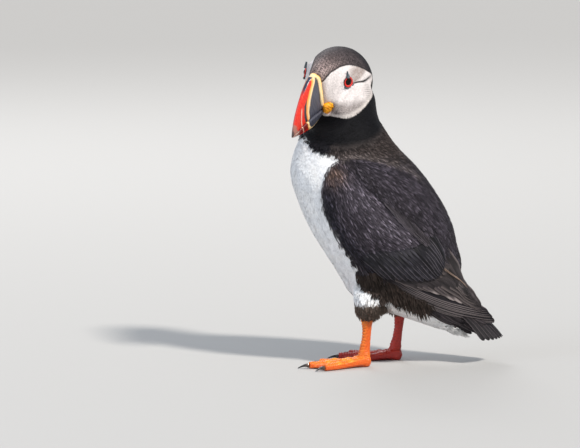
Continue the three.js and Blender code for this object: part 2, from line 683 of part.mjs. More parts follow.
function puffin() {
  const flesh = trunkAndNeck();
  const aboveHeadCut = halfSpace(HEAD_CUT.point, leaning(HEAD_CUT.lean));
  const aboveNeckCut = halfSpace(NECK_CUT.point, leaning(NECK_CUT.lean));
  const lift = new THREE.Matrix4().makeTranslation(0, 0, GAP);
  const thighSeats = Object.values(LEGS).map((measures) => thigh(measures, GAP));
  const trunkSkin = trunkAndNeck({ grow: GAP });

  const bird = new THREE.Group();
  const headAndUp = flesh.intersect(moved(aboveHeadCut, lift));
  bird.add(headGroup(headAndUp));
  const neck = flesh.subtract(aboveHeadCut).intersect(moved(aboveNeckCut, lift));
  bird.add(node('neck', neck, COLOURS.plumage));
  const seats = [aboveNeckCut, tail(GAP), ...thighSeats];
  bird.add(node('trunk', seats.reduce((rest, seat) => rest.subtract(seat), flesh), COLOURS.breast));
  const wingLayer = trunkAndNeck({ grow: WING_THICKNESS, growBack: WING_RISE });
  for (const [name, side] of Object.entries(SIDES)) {
    bird.add(node(`wing_${name}`, wing(side, wingLayer, trunkSkin), COLOURS.plumage));
    bird.add(node(`primaries_${name}`, primaries(side, wingLayer, trunkSkin), COLOURS.plumage));
    bird.add(leg(name, side));
  }
  bird.add(node('tail', tail(), COLOURS.plumage));

  bird.updateMatrixWorld(true);
  const box = new THREE.Box3().setFromObject(bird, true);
  bird.position.set(-(box.min.x + box.max.x) / 2, -(box.min.y + box.max.y) / 2, -box.min.z);
  return new THREE.Group().add(bird);
}

export default puffin();
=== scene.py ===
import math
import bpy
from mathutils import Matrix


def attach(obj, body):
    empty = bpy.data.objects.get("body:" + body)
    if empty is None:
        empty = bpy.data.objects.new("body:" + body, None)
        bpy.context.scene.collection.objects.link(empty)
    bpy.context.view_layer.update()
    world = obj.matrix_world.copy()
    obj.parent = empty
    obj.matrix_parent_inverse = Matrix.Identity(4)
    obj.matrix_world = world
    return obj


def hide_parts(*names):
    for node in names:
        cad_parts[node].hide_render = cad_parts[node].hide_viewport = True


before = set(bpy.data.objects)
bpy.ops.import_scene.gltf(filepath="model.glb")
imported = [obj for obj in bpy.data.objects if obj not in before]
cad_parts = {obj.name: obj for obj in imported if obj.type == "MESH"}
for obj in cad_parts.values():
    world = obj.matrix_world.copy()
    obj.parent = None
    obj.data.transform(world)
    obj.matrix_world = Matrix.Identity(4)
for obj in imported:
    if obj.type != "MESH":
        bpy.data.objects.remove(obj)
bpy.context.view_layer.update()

# The looks of a life-size Atlantic puffin that stands with its head turned over its left side.
# Shapes are worked out in millimetres, in the frame of the solids: the body faces +X, its left side
# is +Y and +Z is up. A place in side view is x and z.

from types import SimpleNamespace

import bpy
import numpy as np
from mathutils import Vector
from mathutils.bvhtree import BVHTree
from mathutils.kdtree import KDTree

MM = 0.001
SIDES = {"left": 1, "right": -1}
CLAWS = ("inner", "middle", "outer")
ANKLES = {"left": np.array([21.556, 20.0, 35.0]), "right": np.array([-5.444, -18.5, 34.0])}

# ---- Head frame: x forward along the mouth from the base of the bill, y to the left, z up ----

HEAD_ORIGIN = np.array([57.656, 16.0, 182.4])
HEAD_YAW, HEAD_PITCH, HEAD_ROLL = (math.radians(angle) for angle in (53.9, 21.9, -10.5))
HEAD_CENTRE = np.array([-25.0, 0.0, 6.0])

# ---- Plumage of the body ----

# Lines from the back round to the breast, in side view: where each leaves the back and meets the breast.
BODY_LINES = [
    [(22.5, 204), (56.5, 186)],
    [(14, 189), (63.5, 171)],
    [(10.5, 172), (67.5, 160)],
    [(-1, 154), (72.5, 148.5)],
    [(-16.5, 138), (75, 134)],
    [(-31, 118), (70, 116)],
    [(-41, 98), (60.5, 94)],
    [(-45, 78), (44.5, 69)],
    [(-47, 62), (27.5, 43)],
    [(-50.5, 49), (-1.5, 33)],
    [(-55.5, 39), (-31.5, 22.5)],
    [(-62, 27), (-52, 15)],
]

# The pale face, as angles seen from the middle of the head: round from the front, and up.
FACE_OUTLINE = [
    (-12, -6), (-12, 20), (10, 28), (15.5, 31.3), (21.7, 39.1), (31.7, 47.5), (56.3, 55.1), (80, 54.5),
    (98, 49), (113.9, 36), (124, 21), (131, 9), (136, 1), (133, -6), (120, -10), (104, -11.5),
    (88.5, -12), (74.7, -14.8), (63.4, -17.5), (51.8, -19.8), (44.7, -21), (38.2, -22.6), (25.7, -26),
    (10, -29),
]
# The crease behind the eye, as the same angles.
CREASE = [
    (77, 15.6), (81, 15.8), (85, 15.6), (91.3, 14.1), (101.8, 9.9), (112, 6.6), (121.9, 3.8), (134, 1.5),
]
# The pale feathers where the neck meets the back, in side view.
NECK_BASE = [(50, 146), (32, 149), (14, 145.6), (0, 140.5), (-10, 134)]
# The dark border of the white breast and belly in side view, from the throat to the tail.
WHITE_BORDER = [
    (90, 152.5), (60, 152), (51, 151), (45, 148), (42, 140), (42, 120), (44, 100), (43.5, 90.5), (37, 83),
    (30.5, 70), (25, 60), (19, 54), (11, 53), (2, 49.5), (-13, 43), (-30, 34.5), (-46, 25), (-62, 15),
]
# Corners that close the border round the white, below the bird.
WHITE_CORNERS = [(-62, -30), (90, -30)]
# The black throat, deepened by a painted shadow of the head, ends on the slanting line where x and z add up
# to this.
COLLAR_LINE = 202.9
THROAT_RISE = 9.0
# Half the width of the border between two colours.
BORDER = 0.8
# Heights from which one colour passes into another, to where it has.
MANTLE_TO_NECK, FLANK_TO_MANTLE, BREAST_TO_THROAT = (138, 152), (58, 80), (120, 140)
THROAT_FROM, NAPE_FROM = (148, 150), (162, 178)
# How far the dark ring of feathers reaches from each ankle, outwards and upwards.
GARTER_REACH, GARTER_HEIGHT = (14, 18), (12, 18)


def palette(**colours):
    return {name: np.array(colour) for name, colour in colours.items()}


PLUMAGE = palette(
    black=(0.0045, 0.0045, 0.006),
    nape=(0.010, 0.009, 0.012),
    crown=(0.052, 0.042, 0.044),
    forehead=(0.27, 0.205, 0.195),
    neck=(0.048, 0.038, 0.036),
    neck_fleck=(0.15, 0.125, 0.12),
    mantle=(0.034, 0.030, 0.036),
    wing=(0.042, 0.036, 0.046),
    wing_pale=(0.085, 0.074, 0.092),
    wing_front=(0.012, 0.012, 0.018),
    wing_brown=(0.13, 0.082, 0.062),
    flank=(0.042, 0.031, 0.026),
    face=(0.70, 0.645, 0.635),
    face_low=(0.215, 0.185, 0.175),
    face_brow=(0.33, 0.275, 0.255),
    wrinkle=(0.30, 0.33, 0.40),
    rim=(0.62, 0.57, 0.54),
    white=(0.80, 0.80, 0.80),
    white_shade=(0.70, 0.715, 0.745),
    garter=(0.10, 0.076, 0.062),
)


# ---- Small sums ----

def unit(v):
    return v / np.maximum(np.linalg.norm(v, axis=-1, keepdims=True), 1e-9)


def share_along(v, ways):
    """The part of each vector that lies along its unit way."""
    return ways * (v * ways).sum(-1, keepdims=True)


def limited(x):
    return np.clip(x, 0, 1)


def smooth_step(low, high, x):
    """0 up to low and 1 from high on, eased between them; or falling, where low is above high."""
    t = limited((np.asarray(x, float) - low) / (high - low))
    return t * t * (3 - 2 * t)


def bell(x, width):
    return np.exp(-((x / width) ** 2))


def mixed(a, b, share):
    return a * (1 - share) + b * share


def blend(a, b, share):
    """Colours or vectors mixed by a number for each."""
    return mixed(a, b, np.asarray(share)[..., None])


def spline(points, count, closed=False):
    """A smooth run of points through the given ones, evenly spaced between each pair."""
    p = np.array(points, float)
    n = len(p)
    spans = n if closed else n - 1
    t = np.linspace(0, spans, count, endpoint=not closed)
    i = np.minimum(t.astype(int), spans - 1)
    f = (t - i)[:, None]
    at = (lambda k: p[k % n]) if closed else (lambda k: p[np.clip(k, 0, n - 1)])
    a, b, c, d = at(i - 1), at(i), at(i + 1), at(i + 2)
    return 0.5 * (2 * b + (c - a) * f + (2 * a - 5 * b + 4 * c - d) * f**2 + (3 * b - a - 3 * c + d) * f**3)


def off_line(points, line):
    """How far each flat point is from a run of points, and its place along the run, from 0 to 1."""
    best = np.full(len(points), np.inf)
    along = np.zeros(len(points))
    spans = len(line) - 1
    for k in range(spans):
        a, d = line[k], line[k + 1] - line[k]
        t = limited(((points - a) @ d) / max(d @ d, 1e-12))
        gap = np.linalg.norm(points - a - t[:, None] * d, axis=1)
        closer = gap < best
        best = np.where(closer, gap, best)
        along = np.where(closer, (k + t) / spans, along)
    return best, along


def inside(points, outline):
    """How far each flat point is inside a closed outline, below 0 outside."""
    loop = np.vstack([outline, outline[:1]])
    gap, _ = off_line(points, loop)
    crossings = np.zeros(len(points), bool)
    x, y = points[:, 0], points[:, 1]
    for (ax, ay), (bx, by) in zip(loop[:-1], loop[1:]):
        spans = (ay > y) != (by > y)
        crossings ^= spans & (x < (bx - ax) * (y - ay) / (by - ay if by != ay else 1e-12) + ax)
    return np.where(crossings, gap, -gap)


def wander(points, size, seed, waves=9):
    """Smooth random numbers around 0 that vary over the given size."""
    draw = np.random.default_rng(seed)
    ways = unit(draw.normal(size=(waves, 3))) * draw.uniform(0.6, 1.6, (waves, 1)) / size
    phases = draw.uniform(0, 2 * np.pi, waves)
    return np.sin(points @ ways.T * 2 * np.pi + phases).sum(1) / waves**0.5


def turned(yaw, pitch, roll):
    """The matrix of a roll, then a pitch, then a yaw."""
    cy, sy, cp, sp, cr, sr = (f(a) for a in (yaw, pitch, roll) for f in (math.cos, math.sin))
    about_z = np.array([[cy, -sy, 0], [sy, cy, 0], [0, 0, 1]])
    about_y = np.array([[cp, 0, sp], [0, 1, 0], [-sp, 0, cp]])
    about_x = np.array([[1, 0, 0], [0, cr, -sr], [0, sr, cr]])
    return about_z @ about_y @ about_x


HEAD_TURN = turned(HEAD_YAW, HEAD_PITCH, HEAD_ROLL)


def to_head(points):
    return (points - HEAD_ORIGIN) @ HEAD_TURN


def from_head(points):
    return np.asarray(points) @ HEAD_TURN.T + HEAD_ORIGIN


def side_view(points):
    return points[:, [0, 2]]


# ---- Shader maths ----

class Value:
    """A shader value: arithmetic on it adds Math nodes."""

    def __init__(self, finish, socket):
        self.finish = finish
        self.socket = socket

    def maths(self, operation, *others):
        inputs = dict(enumerate((self, *others)))
        return self.finish.add("ShaderNodeMath", {"operation": operation}, inputs)

    def __add__(self, other):
        return self.maths("ADD", other)

    __radd__ = __add__

    def __mul__(self, other):
        return self.maths("MULTIPLY", other)

    __rmul__ = __mul__


class Finish:
    """One material. Every node but a Math node comes from add()."""

    def __init__(self, name, **fixed):
        self.material = bpy.data.materials.new(name)
        self.material.use_nodes = True
        self.tree = self.material.node_tree
        self.surface = self.tree.nodes["Principled BSDF"]
        for socket, value in fixed.items():
            self.surface.inputs[socket.replace("_", " ")].default_value = value

    def add(self, kind, settings=None, inputs=None, output=0):
        node = self.tree.nodes.new(kind)
        for name, value in (settings or {}).items():
            setattr(node, name, value)
        for name, value in (inputs or {}).items():
            self.feed(node.inputs[name], value)
        return Value(self, node.outputs[output])

    def feed(self, socket, value):
        if isinstance(value, Value):
            self.tree.links.new(value.socket, socket)
        elif socket.type == "RGBA":
            socket.default_value = (*value[:3], 1)
        else:
            socket.default_value = value

    def show(self, socket, value):
        self.feed(self.surface.inputs[socket], value)

    def number(self, attribute):
        return self.add("ShaderNodeAttribute", {"attribute_name": attribute}, output="Fac")

    def colour(self, attribute):
        return self.add("ShaderNodeAttribute", {"attribute_name": attribute}, output="Color")

    def noise(self, scale, detail):
        place = self.add("ShaderNodeTexCoord", output="Object")
        return self.add("ShaderNodeTexNoise", None, {"Vector": place, "Scale": scale, "Detail": detail})

    def mix(self, a, b, share):
        return self.add("ShaderNodeMix", {"data_type": "RGBA"}, {"Factor": share, 6: a, 7: b}, 2)

    def tint(self, colour, factor):
        """A colour made lighter or darker by a value around 1."""
        settings = {"operation": "SCALE"}
        return self.add("ShaderNodeVectorMath", settings, {0: colour, "Scale": factor})

    def bump(self, height, distance):
        self.show("Normal", self.add("ShaderNodeBump", None, {"Height": height, "Distance": distance}))


# ---- Finishes ----

def lay_colours(finish, shade, grain, rough, grain_on_gloss=0.2):
    """The colours laid on the mesh, shaded by a grain that also breaks up the gloss."""
    finish.show("Base Color", finish.tint(finish.colour("marking"), shade))
    finish.show("Roughness", grain * grain_on_gloss + (rough - 0.1))


def plumage_finish(name, rough=0.58, sheen=0.01):
    """Feathers and the skin below them: the markings with fine barbs over them."""
    finish = Finish(name, Sheen_Weight=sheen, Specular_IOR_Level=0.12)
    grain = finish.noise(900, 3)
    patch = finish.noise(160, 2)
    lay_colours(finish, grain * 0.5 + patch * 0.4 + 0.55, grain, rough, 0.25)
    finish.bump(grain, 0.2 * MM)
    return finish


def eye_finish():
    """A wet dark eye: near black in the pupil and dark brown around it."""
    wet = {"Roughness": 0.05, "Specular_IOR_Level": 0.14, "Coat_Weight": 0.05, "Coat_Roughness": 0.02}
    finish = Finish("eye_wet", **wet)
    pupil, deep_brown, brown = (0.003, 0.003, 0.003), (0.007, 0.004, 0.003), (0.020, 0.010, 0.006)
    iris = finish.mix(deep_brown, brown, finish.noise(2600, 3))
    finish.show("Base Color", finish.mix(pupil, iris, finish.number("iris")))
    return finish


def painted_finish(name, rough, grain_scale, bump_depth, grain_share=0.2, **fixed):
    """Horn or bare skin, with a fine grain over its colours. bump_depth is in millimetres."""
    finish = Finish(name, **fixed)
    grain = finish.noise(grain_scale, 4)
    broad = finish.noise(grain_scale / 6, 2)
    lay_colours(finish, grain * grain_share + broad * grain_share + (1 - grain_share), grain, rough)
    finish.bump(grain, bump_depth * MM)
    return finish


# ---- Meshes ----

def new_piece(name, points, faces, finish, colours=None, numbers=None):
    """A mesh piece from points in millimetres and faces of one size, or a list of such face arrays.
    colours are the markings at the points, and numbers are named values there."""
    mesh = bpy.data.meshes.new(name)
    groups = [np.asarray(group, np.int32) for group in (faces if isinstance(faces, list) else [faces])]
    corners = np.concatenate([group.ravel() for group in groups])
    sizes = np.concatenate([np.full(len(group), group.shape[1], np.int32) for group in groups])
    mesh.vertices.add(len(points))
    mesh.vertices.foreach_set("co", (np.asarray(points, np.float32) * MM).ravel())
    mesh.loops.add(len(corners))
    mesh.loops.foreach_set("vertex_index", corners)
    mesh.polygons.add(len(sizes))
    mesh.polygons.foreach_set("loop_start", np.concatenate([[0], np.cumsum(sizes)[:-1]]).astype(np.int32))
    mesh.polygons.foreach_set("use_smooth", np.ones(len(sizes), bool))
    mesh.update(calc_edges=True)
    mesh.materials.append(finish.material)
    for attribute, values in (numbers or {}).items():
        layer = mesh.attributes.new(attribute, "FLOAT", "POINT")
        layer.data.foreach_set("value", np.asarray(values, np.float32).ravel())
    if colours is not None:
        layer = mesh.attributes.new("marking", "FLOAT_COLOR", "POINT")
        layer.data.foreach_set("color", np.c_[colours, np.ones(len(colours))].astype(np.float32).ravel())
    piece = bpy.data.objects.new(name, mesh)
    bpy.context.scene.collection.objects.link(piece)
    return piece


def settle(piece, slot, *replaced):
    """Puts a finished piece on the bird's one body."""
    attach(piece, "root")
    if replaced:
        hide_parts(*replaced)


def mesh_arrays(mesh):
    """Points in millimetres and faces, as an array of triangles and one of quads."""
    points = np.empty(len(mesh.vertices) * 3, np.float32)
    mesh.vertices.foreach_get("co", points)
    corners = np.empty(len(mesh.loops), np.int32)
    mesh.loops.foreach_get("vertex_index", corners)
    starts = np.empty(len(mesh.polygons), np.int32)
    mesh.polygons.foreach_get("loop_start", starts)
    sizes = np.diff(np.append(starts, len(corners)))
    groups = [corners[starts[sizes == size][:, None] + np.arange(size)] for size in (3, 4)]
    return points.reshape(-1, 3).astype(float) / MM, [group for group in groups if len(group)]


def as_triangles(groups):
    parts = []
    for group in groups:
        parts.append(group[:, :3])
        if group.shape[1] == 4:
            parts.append(group[:, [0, 2, 3]])
    return np.concatenate(parts)


def point_normals(points, triangles):
    a, b, c = (points[triangles[:, k]] for k in range(3))
    across = np.cross(b - a, c - a)
    total = np.zeros_like(points)
    for k in range(3):
        for axis in range(3):
            total[:, axis] += np.bincount(triangles[:, k], across[:, axis], len(points))
    return unit(total)


def edge_pairs(groups):
    pairs = np.concatenate([np.c_[g.ravel(), np.roll(g, -1, 1).ravel()] for g in groups])
    return np.unique(np.sort(pairs, 1), axis=0)


def eased(values, edges, times, share=0.5):
    """Values on the points of a mesh, each drawn towards its neighbours' mean."""
    count = np.bincount(edges.ravel(), minlength=len(values))[:, None]
    both = np.r_[edges[:, 0], edges[:, 1]]
    other = np.r_[edges[:, 1], edges[:, 0]]
    for _ in range(times):
        sums = [np.bincount(both, column[other], len(values)) for column in values.T]
        values = values + share * (np.stack(sums, 1) / np.maximum(count, 1) - values)
    return values


def grid_faces(rows, columns):
    """Quads between rings of points."""
    r, c = np.meshgrid(np.arange(rows - 1), np.arange(columns), indexing="ij")
    a = (r * columns + c).ravel()
    b = (r * columns + (c + 1) % columns).ravel()
    return np.c_[a, b, b + columns, a + columns]


def closed_rings(rows, columns):
    """Quads round the rings and triangles over both ends."""
    fan = np.arange(1, columns - 1)
    first = np.c_[np.zeros_like(fan), fan + 1, fan]
    last = np.c_[np.zeros_like(fan), fan, fan + 1] + (rows - 1) * columns
    return [grid_faces(rows, columns), np.r_[first, last]]


def turned_over(faces):
    return [group[:, ::-1] for group in faces]


def facing_out(faces, side):
    """Faces made for the right side of the bird, turned over on the left one."""
    return turned_over(faces) if side > 0 else faces


def ring_angles(count):
    return np.linspace(0, 2 * np.pi, count, endpoint=False)


def swept(line, wide, reach_wide, deep, reach_deep, around):
    """Rings of points along a line: ovals spread over two directions, each by its own reach."""
    sideways = wide[:, None] * (np.cos(around)[None, :, None] * reach_wide[:, None, None])
    outward = deep[:, None] * (np.sin(around)[None, :, None] * reach_deep[:, None, None])
    return (line[:, None] + sideways + outward).reshape(-1, 3)


def fused(sources, voxel, puff):
    """Several closed shapes, given as points and triangles, each puffed up a little, as one even mesh."""
    offset, points, faces = 0, [], []
    for shape, triangles in sources:
        points.append(shape + point_normals(shape, triangles) * puff)
        faces.append(triangles + offset)
        offset += len(shape)
    mesh = bpy.data.meshes.new("fused")
    mesh.from_pydata((np.concatenate(points) * MM).tolist(), [], np.concatenate(faces).tolist())
    holder = bpy.data.objects.new("fused", mesh)
    bpy.context.scene.collection.objects.link(holder)
    remesh = holder.modifiers.new("even", "REMESH")
    remesh.mode = "VOXEL"
    remesh.voxel_size = voxel * MM
    bpy.context.view_layer.update()
    solid = holder.evaluated_get(bpy.context.evaluated_depsgraph_get())
    result = mesh_arrays(solid.to_mesh())
    solid.to_mesh_clear()
    bpy.data.objects.remove(holder)
    bpy.data.meshes.remove(mesh)
    return result


def tree_of(points):
    tree = KDTree(len(points))
    for i, point in enumerate(points):
        tree.insert(point, i)
    tree.balance()
    return tree


def node_shape(name):
    """The points and triangles of a solid, with its doubled points joined."""
    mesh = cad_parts[name].data
    points, groups = mesh_arrays(mesh)
    joined, index = np.unique(np.round(points, 4), axis=0, return_inverse=True)
    return joined, index.ravel()[as_triangles(groups)]


# ---- Skin ----

FLESH = ("head", "neck", "trunk", "wing_left", "wing_right", "thigh_left", "thigh_right")
FACE_SEATS = [f"{part}_{side}" for part in ("eye", "eye_ring", "brow_plate", "eye_bar") for side in SIDES]
SKIN_VOXEL = 1.1
SKIN_EASING = 22
SEAM_CLOSING = 0.35
COAT_DEPTH, THINNER_ON_HEAD, THINNER_AT_BILL, THINNER_ON_WHITE = 2.1, 1.1, 0.45, 0.7
HEAD_REACH = (30, 44)


def coat_depth(points):
    """How far the skin lies below the tips of the coat."""
    head = to_head(points)
    head_share = 1 - smooth_step(*HEAD_REACH, np.linalg.norm(head - HEAD_CENTRE, axis=1))
    at_bill = head_share * smooth_step(-16, -4, head[:, 0])
    white = white_share(points, 0) * (1 - head_share)
    return COAT_DEPTH - THINNER_ON_HEAD * head_share - THINNER_AT_BILL * at_bill - THINNER_ON_WHITE * white


def face_angles(points):
    """Where a point of the head is seen from its middle: round from the front, and up, in degrees."""
    away = to_head(points) - HEAD_CENTRE
    level = np.hypot(away[:, 0], away[:, 1])
    around = np.degrees(np.arctan2(np.abs(away[:, 1]), away[:, 0]))
    return np.c_[around, np.degrees(np.arctan2(away[:, 2], level))]


def on_head(points):
    """1 on the head and 0 on the neck and body."""
    head = to_head(points)
    below = HEAD_CENTRE[2] - head[:, 2]
    return 1 - smooth_step(24, 30, below + np.maximum(0, -25 - head[:, 0]) * 0.2)


# What turns the lie of the feathers: the bill, the nape and the thighs.
BILL_MIDDLE = np.array([4.0, 0.0, 3.0])
NAPE_DROP = np.array([0.0, 0.0, -1.2])
THIGH_ABOVE_ANKLE = np.array([0, 0, 8])
THIGH_SHAPE = np.array([1, 1, 0.75])
THIGH_WAY = np.array([0.12, 0.0, -1.0])


class Skin:
    """The bird's skin: points, faces, normals, and the way its feathers lie."""

    def __init__(self):
        sources = [node_shape(name) for name in (*FLESH, *FACE_SEATS)]
        self.points, self.groups = fused(sources, SKIN_VOXEL, SEAM_CLOSING)
        self.triangles = as_triangles(self.groups)
        self.edges = edge_pairs(self.groups)
        self.points = eased(self.points, self.edges, SKIN_EASING)
        self.normals = point_normals(self.points, self.triangles)
        self.points = self.points - self.normals * (coat_depth(self.points) + SEAM_CLOSING)[:, None]
        self.sculpt_face()
        self.raise_shoulders()
        self.normals = eased(point_normals(self.points, self.triangles), self.edges, 6)
        self.normals = unit(self.normals)
        self.lie = self.lie_of_feathers()
        self.tree = tree_of(self.points)

    def sculpt_face(self):
        """The crease behind each eye and the swell of the cheek below it."""
        angles = face_angles(self.points)
        head_share = on_head(self.points)
        gap, along = off_line(angles, spline(CREASE, 40))
        fade = smooth_step(0, 0.12, along) * (1 - smooth_step(0.85, 1, along) * 0.5)
        groove = bell(gap, 2.2) * 1.3 * fade
        below = bell(gap, 9) * (angles[:, 1] < 12) * 0.5
        self.points -= self.normals * ((groove - below) * head_share)[:, None]

    def raise_shoulders(self):
        """The feathers of the shoulder stand a little over the wing along their lower edge."""
        above = over_scapulars(self.points)
        gap, _ = off_line(side_view(self.points), spline(SCAPULAR_EDGE, 60))
        raised = (1 - smooth_step(4, 16, gap)) * smooth_step(0, 1.2, gap)
        step = np.where(above > 0, raised, -0.5 * bell(gap, 2.2))
        on_flank = smooth_step(0.35, 0.7, np.abs(self.normals[:, 1]))
        self.points += self.normals * (step * on_flank)[:, None]

    def lie_of_feathers(self):
        """The way the feathers point: back from the bill, along body and wings, and down the thighs."""
        lie = body_lie(self.points)
        head = to_head(self.points)
        from_bill = unit(head - BILL_MIDDLE) @ HEAD_TURN.T
        behind = smooth_step(-20, -52, head[:, 0]) * smooth_step(-30, 10, head[:, 2])
        from_bill = unit(from_bill + behind[:, None] * NAPE_DROP)
        lie = blend(lie, from_bill, on_head(self.points))
        lie = blend(lie, wing_lie(self.points), on_wing(self.points, self.normals))
        for ankle in ANKLES.values():
            away = np.linalg.norm((self.points - ankle - THIGH_ABOVE_ANKLE) * THIGH_SHAPE, axis=1)
            lie = blend(lie, THIGH_WAY, 1 - smooth_step(15, 26, away))
        lie = lie - share_along(lie, self.normals)
        lie = eased(unit(lie), self.edges, 10)
        return unit(lie - share_along(lie, self.normals))

    def nearest(self, points):
        return np.array([self.tree.find(point)[1] for point in points], int)


def body_lie(points):
    """The way from the throat to the tail, along the back and the breast."""
    lines = np.array(BODY_LINES, float)
    back, breast = spline(lines[:, 0], 45), spline(lines[:, 1], 45)
    shares = np.linspace(-0.1, 1.1, 9)[:, None, None]
    places = mixed(back[None], breast[None], shares)
    ways = unit(np.gradient(places, axis=1)).reshape(-1, 2)
    places = places.reshape(-1, 2)
    tree = tree_of(np.c_[places, np.zeros(len(places))])
    found = [tree.find((x, z, 0))[1] for x, _, z in points]
    return np.c_[ways[found, 0], np.zeros(len(points)), ways[found, 1]]


# ---- Folded wings, in side view ----

WING_OUTLINE = [
    (43.5, 146), (50, 141), (54, 130), (54, 118), (51, 107), (44, 93.5), (36, 83), (22, 71), (8, 67),
    (-10, 66.5), (-30, 67), (-42, 68.5), (-48.5, 66), (-42, 94), (-24, 119), (-6, 137), (10, 143.5),
    (28, 147.5),
]
# Where the feathers of the shoulder end over the wing, and corners that close a loop round them.
SCAPULAR_EDGE = [
    (42, 146), (30, 134), (22.3, 126.4), (11.9, 116), (-2.1, 106.7), (-12.7, 96.7), (-21.4, 87.2), (-33, 74),
]
SCAPULAR_CORNERS = [(-70, 74), (-70, 160), (42, 160)]
WING_CORNER = (48, 139)
# Places on the wing, each with the way its feathers point in degrees below straight back.
WING_WAYS = [
    (44, 140, 58), (50, 125, 72), (50, 112, 68), (42, 96, 55), (30, 80, 40), (10, 72, 24), (-20, 72, 20),
    (-42, 74, 34), (20, 130, 52), (25, 105, 50), (0, 125, 52), (5, 95, 42), (-15, 95, 44), (-30, 85, 46),
    (-20, 115, 54), (-36, 95, 62), (15, 142, 30),
]


def inside_wing(points):
    return inside(side_view(points), spline(WING_OUTLINE, 90, closed=True))


def over_scapulars(points):
    """How far each point is inside the feathers of the shoulder, below 0 outside."""
    return inside(side_view(points), np.vstack([spline(SCAPULAR_EDGE, 60), SCAPULAR_CORNERS]))


def on_wing(points, normals):
    """1 on the outer face of a wing and 0 elsewhere."""
    outward = np.abs(normals[:, 1])
    return smooth_step(-1.5, 1.5, inside_wing(points)) * smooth_step(0.15, 0.4, outward)


def wing_lie(points):
    """The way of the nearest guides, each weighed by how near it is."""
    guides = np.array(WING_WAYS, float)
    gaps = np.linalg.norm(side_view(points)[:, None] - guides[None, :, :2], axis=2)
    weights = 1 / (gaps + 3) ** 3
    angles = np.radians((weights * guides[:, 2]).sum(1) / weights.sum(1))
    return np.c_[-np.cos(angles), np.zeros(len(points)), -np.sin(angles)]


# ---- Markings ----

def ruffled(points):
    """How far the borders between colours stray at each point."""
    return wander(points, 5, 3)


def markings(points, normals):
    """The colour of the plumage at each point."""
    height = points[:, 2]
    ruffle = ruffled(points)
    wing = on_wing(points, normals)
    colour = np.tile(PLUMAGE["mantle"], (len(points), 1))
    colour = blend(colour, PLUMAGE["neck"], smooth_step(*MANTLE_TO_NECK, height + 3 * ruffle))
    colour = blend(colour, wing_colour(points), wing)
    colour = blend(colour, PLUMAGE["neck_fleck"], neck_fleck(points) * (1 - wing))
    low = 1 - smooth_step(*FLANK_TO_MANTLE, height + points[:, 0] * 0.3 + 4 * ruffle)
    colour = blend(colour, PLUMAGE["flank"], low * (1 - wing))
    # The black throat, darkened further by a painted shadow of the head, and the dark nape.
    colour = blend(colour, PLUMAGE["nape"], collar_share(points, ruffle))
    shade = 0.5 + 0.5 * smooth_step(-0.6, 1.2, wander(points, 9, 8))
    white = blend(PLUMAGE["white_shade"], PLUMAGE["white"], shade)
    colour = blend(colour, white, white_off_wing(points, ruffle, wing))
    for ankle in ANKLES.values():
        colour = blend(colour, PLUMAGE["garter"], garter_share(points - ankle, ruffle) * 0.9)
    return blend(colour, head_colour(points), on_head(points))


def garter_share(from_ankle, ruffle):
    """The dark ring of short feathers above each foot."""
    away = np.linalg.norm(from_ankle[:, :2], axis=1)
    height = from_ankle[:, 2] + 1.5 * ruffle
    return (1 - smooth_step(*GARTER_REACH, away)) * (1 - smooth_step(*GARTER_HEIGHT, height))


def collar_share(points, ruffle):
    """Black throat deepened by a painted head shadow ending in a slanting line behind the cheek, and the
    dark of the nape.
    """
    x, z = points[:, 0], points[:, 2]
    over_line = (x + z - COLLAR_LINE) * 0.707
    throat = smooth_step(-BORDER, BORDER, over_line + 0.3 * ruffle) * smooth_step(*THROAT_FROM, z)
    return np.maximum(throat, 0.6 * smooth_step(*NAPE_FROM, z + 0.25 * (20 - x)))


def neck_fleck(points):
    """Pale worn tips at the base of the neck and over the shoulder."""
    gap, along = off_line(side_view(points), spline(NECK_BASE, 60))
    low = bell((points[:, 2] - 147) / 9, 1.0) * smooth_step(30, 45, points[:, 0])
    spots = smooth_step(0.2, 1.3, wander(points, 1.7, 24))
    base = bell(gap, 2.6) * (1 - 0.4 * along) * (0.45 + 0.5 * spots)
    return limited(base + 0.7 * low * spots)


def inside_white(place):
    return inside(place, np.vstack([spline(WHITE_BORDER, 90), WHITE_CORNERS]))


def white_share(points, ruffle):
    """1 on the white breast and belly, whose border rises towards the middle of the throat."""
    middle = 1 - smooth_step(6, 27, np.abs(points[:, 1]))
    low = 1 - smooth_step(*BREAST_TO_THROAT, points[:, 2])
    rise = THROAT_RISE * middle * smooth_step(40, 60, points[:, 0]) * (1 - low)
    depth = inside_white(side_view(points) - np.c_[np.zeros(len(points)), rise])
    return smooth_step(-BORDER, BORDER, depth + 0.7 * ruffle)


def white_off_wing(points, ruffle, wing):
    return white_share(points, ruffle) * (1 - wing) ** 3


def wing_colour(points):
    """Dark: a painted sheen in a pale band over the coverts, painted blue-black shade low in front, brown at
    the shoulder.
    """
    x, z = points[:, 0], points[:, 2]
    streak = wander(points, 7, 21)
    above = over_scapulars(points)
    # Painted sheen: a paler band across the middle of the wing, lit from above.
    band = bell((above + 9) / 8, 1.0) * smooth_step(55, 30, x) * smooth_step(-30, -8, x)
    colour = blend(PLUMAGE["wing"], PLUMAGE["wing_pale"], limited(band * (0.85 + 0.3 * streak)))
    shoulder = smooth_step(0, 2, above) * (1 - smooth_step(3, 12, above))
    colour = blend(colour, PLUMAGE["mantle"] * 0.7, shoulder * 0.6)
    # Painted shade: blue-black along the lower front of the wing.
    front = (1 - smooth_step(2, 12, inside_wing(points))) * smooth_step(-2, 12, x) * smooth_step(135, 122, z)
    colour = blend(colour, PLUMAGE["wing_front"], front * 0.85)
    corner = bell(np.hypot(x - WING_CORNER[0], z - WING_CORNER[1]), 6.5)
    return blend(colour, PLUMAGE["wing_brown"], limited(corner * (0.8 + 0.3 * streak)))


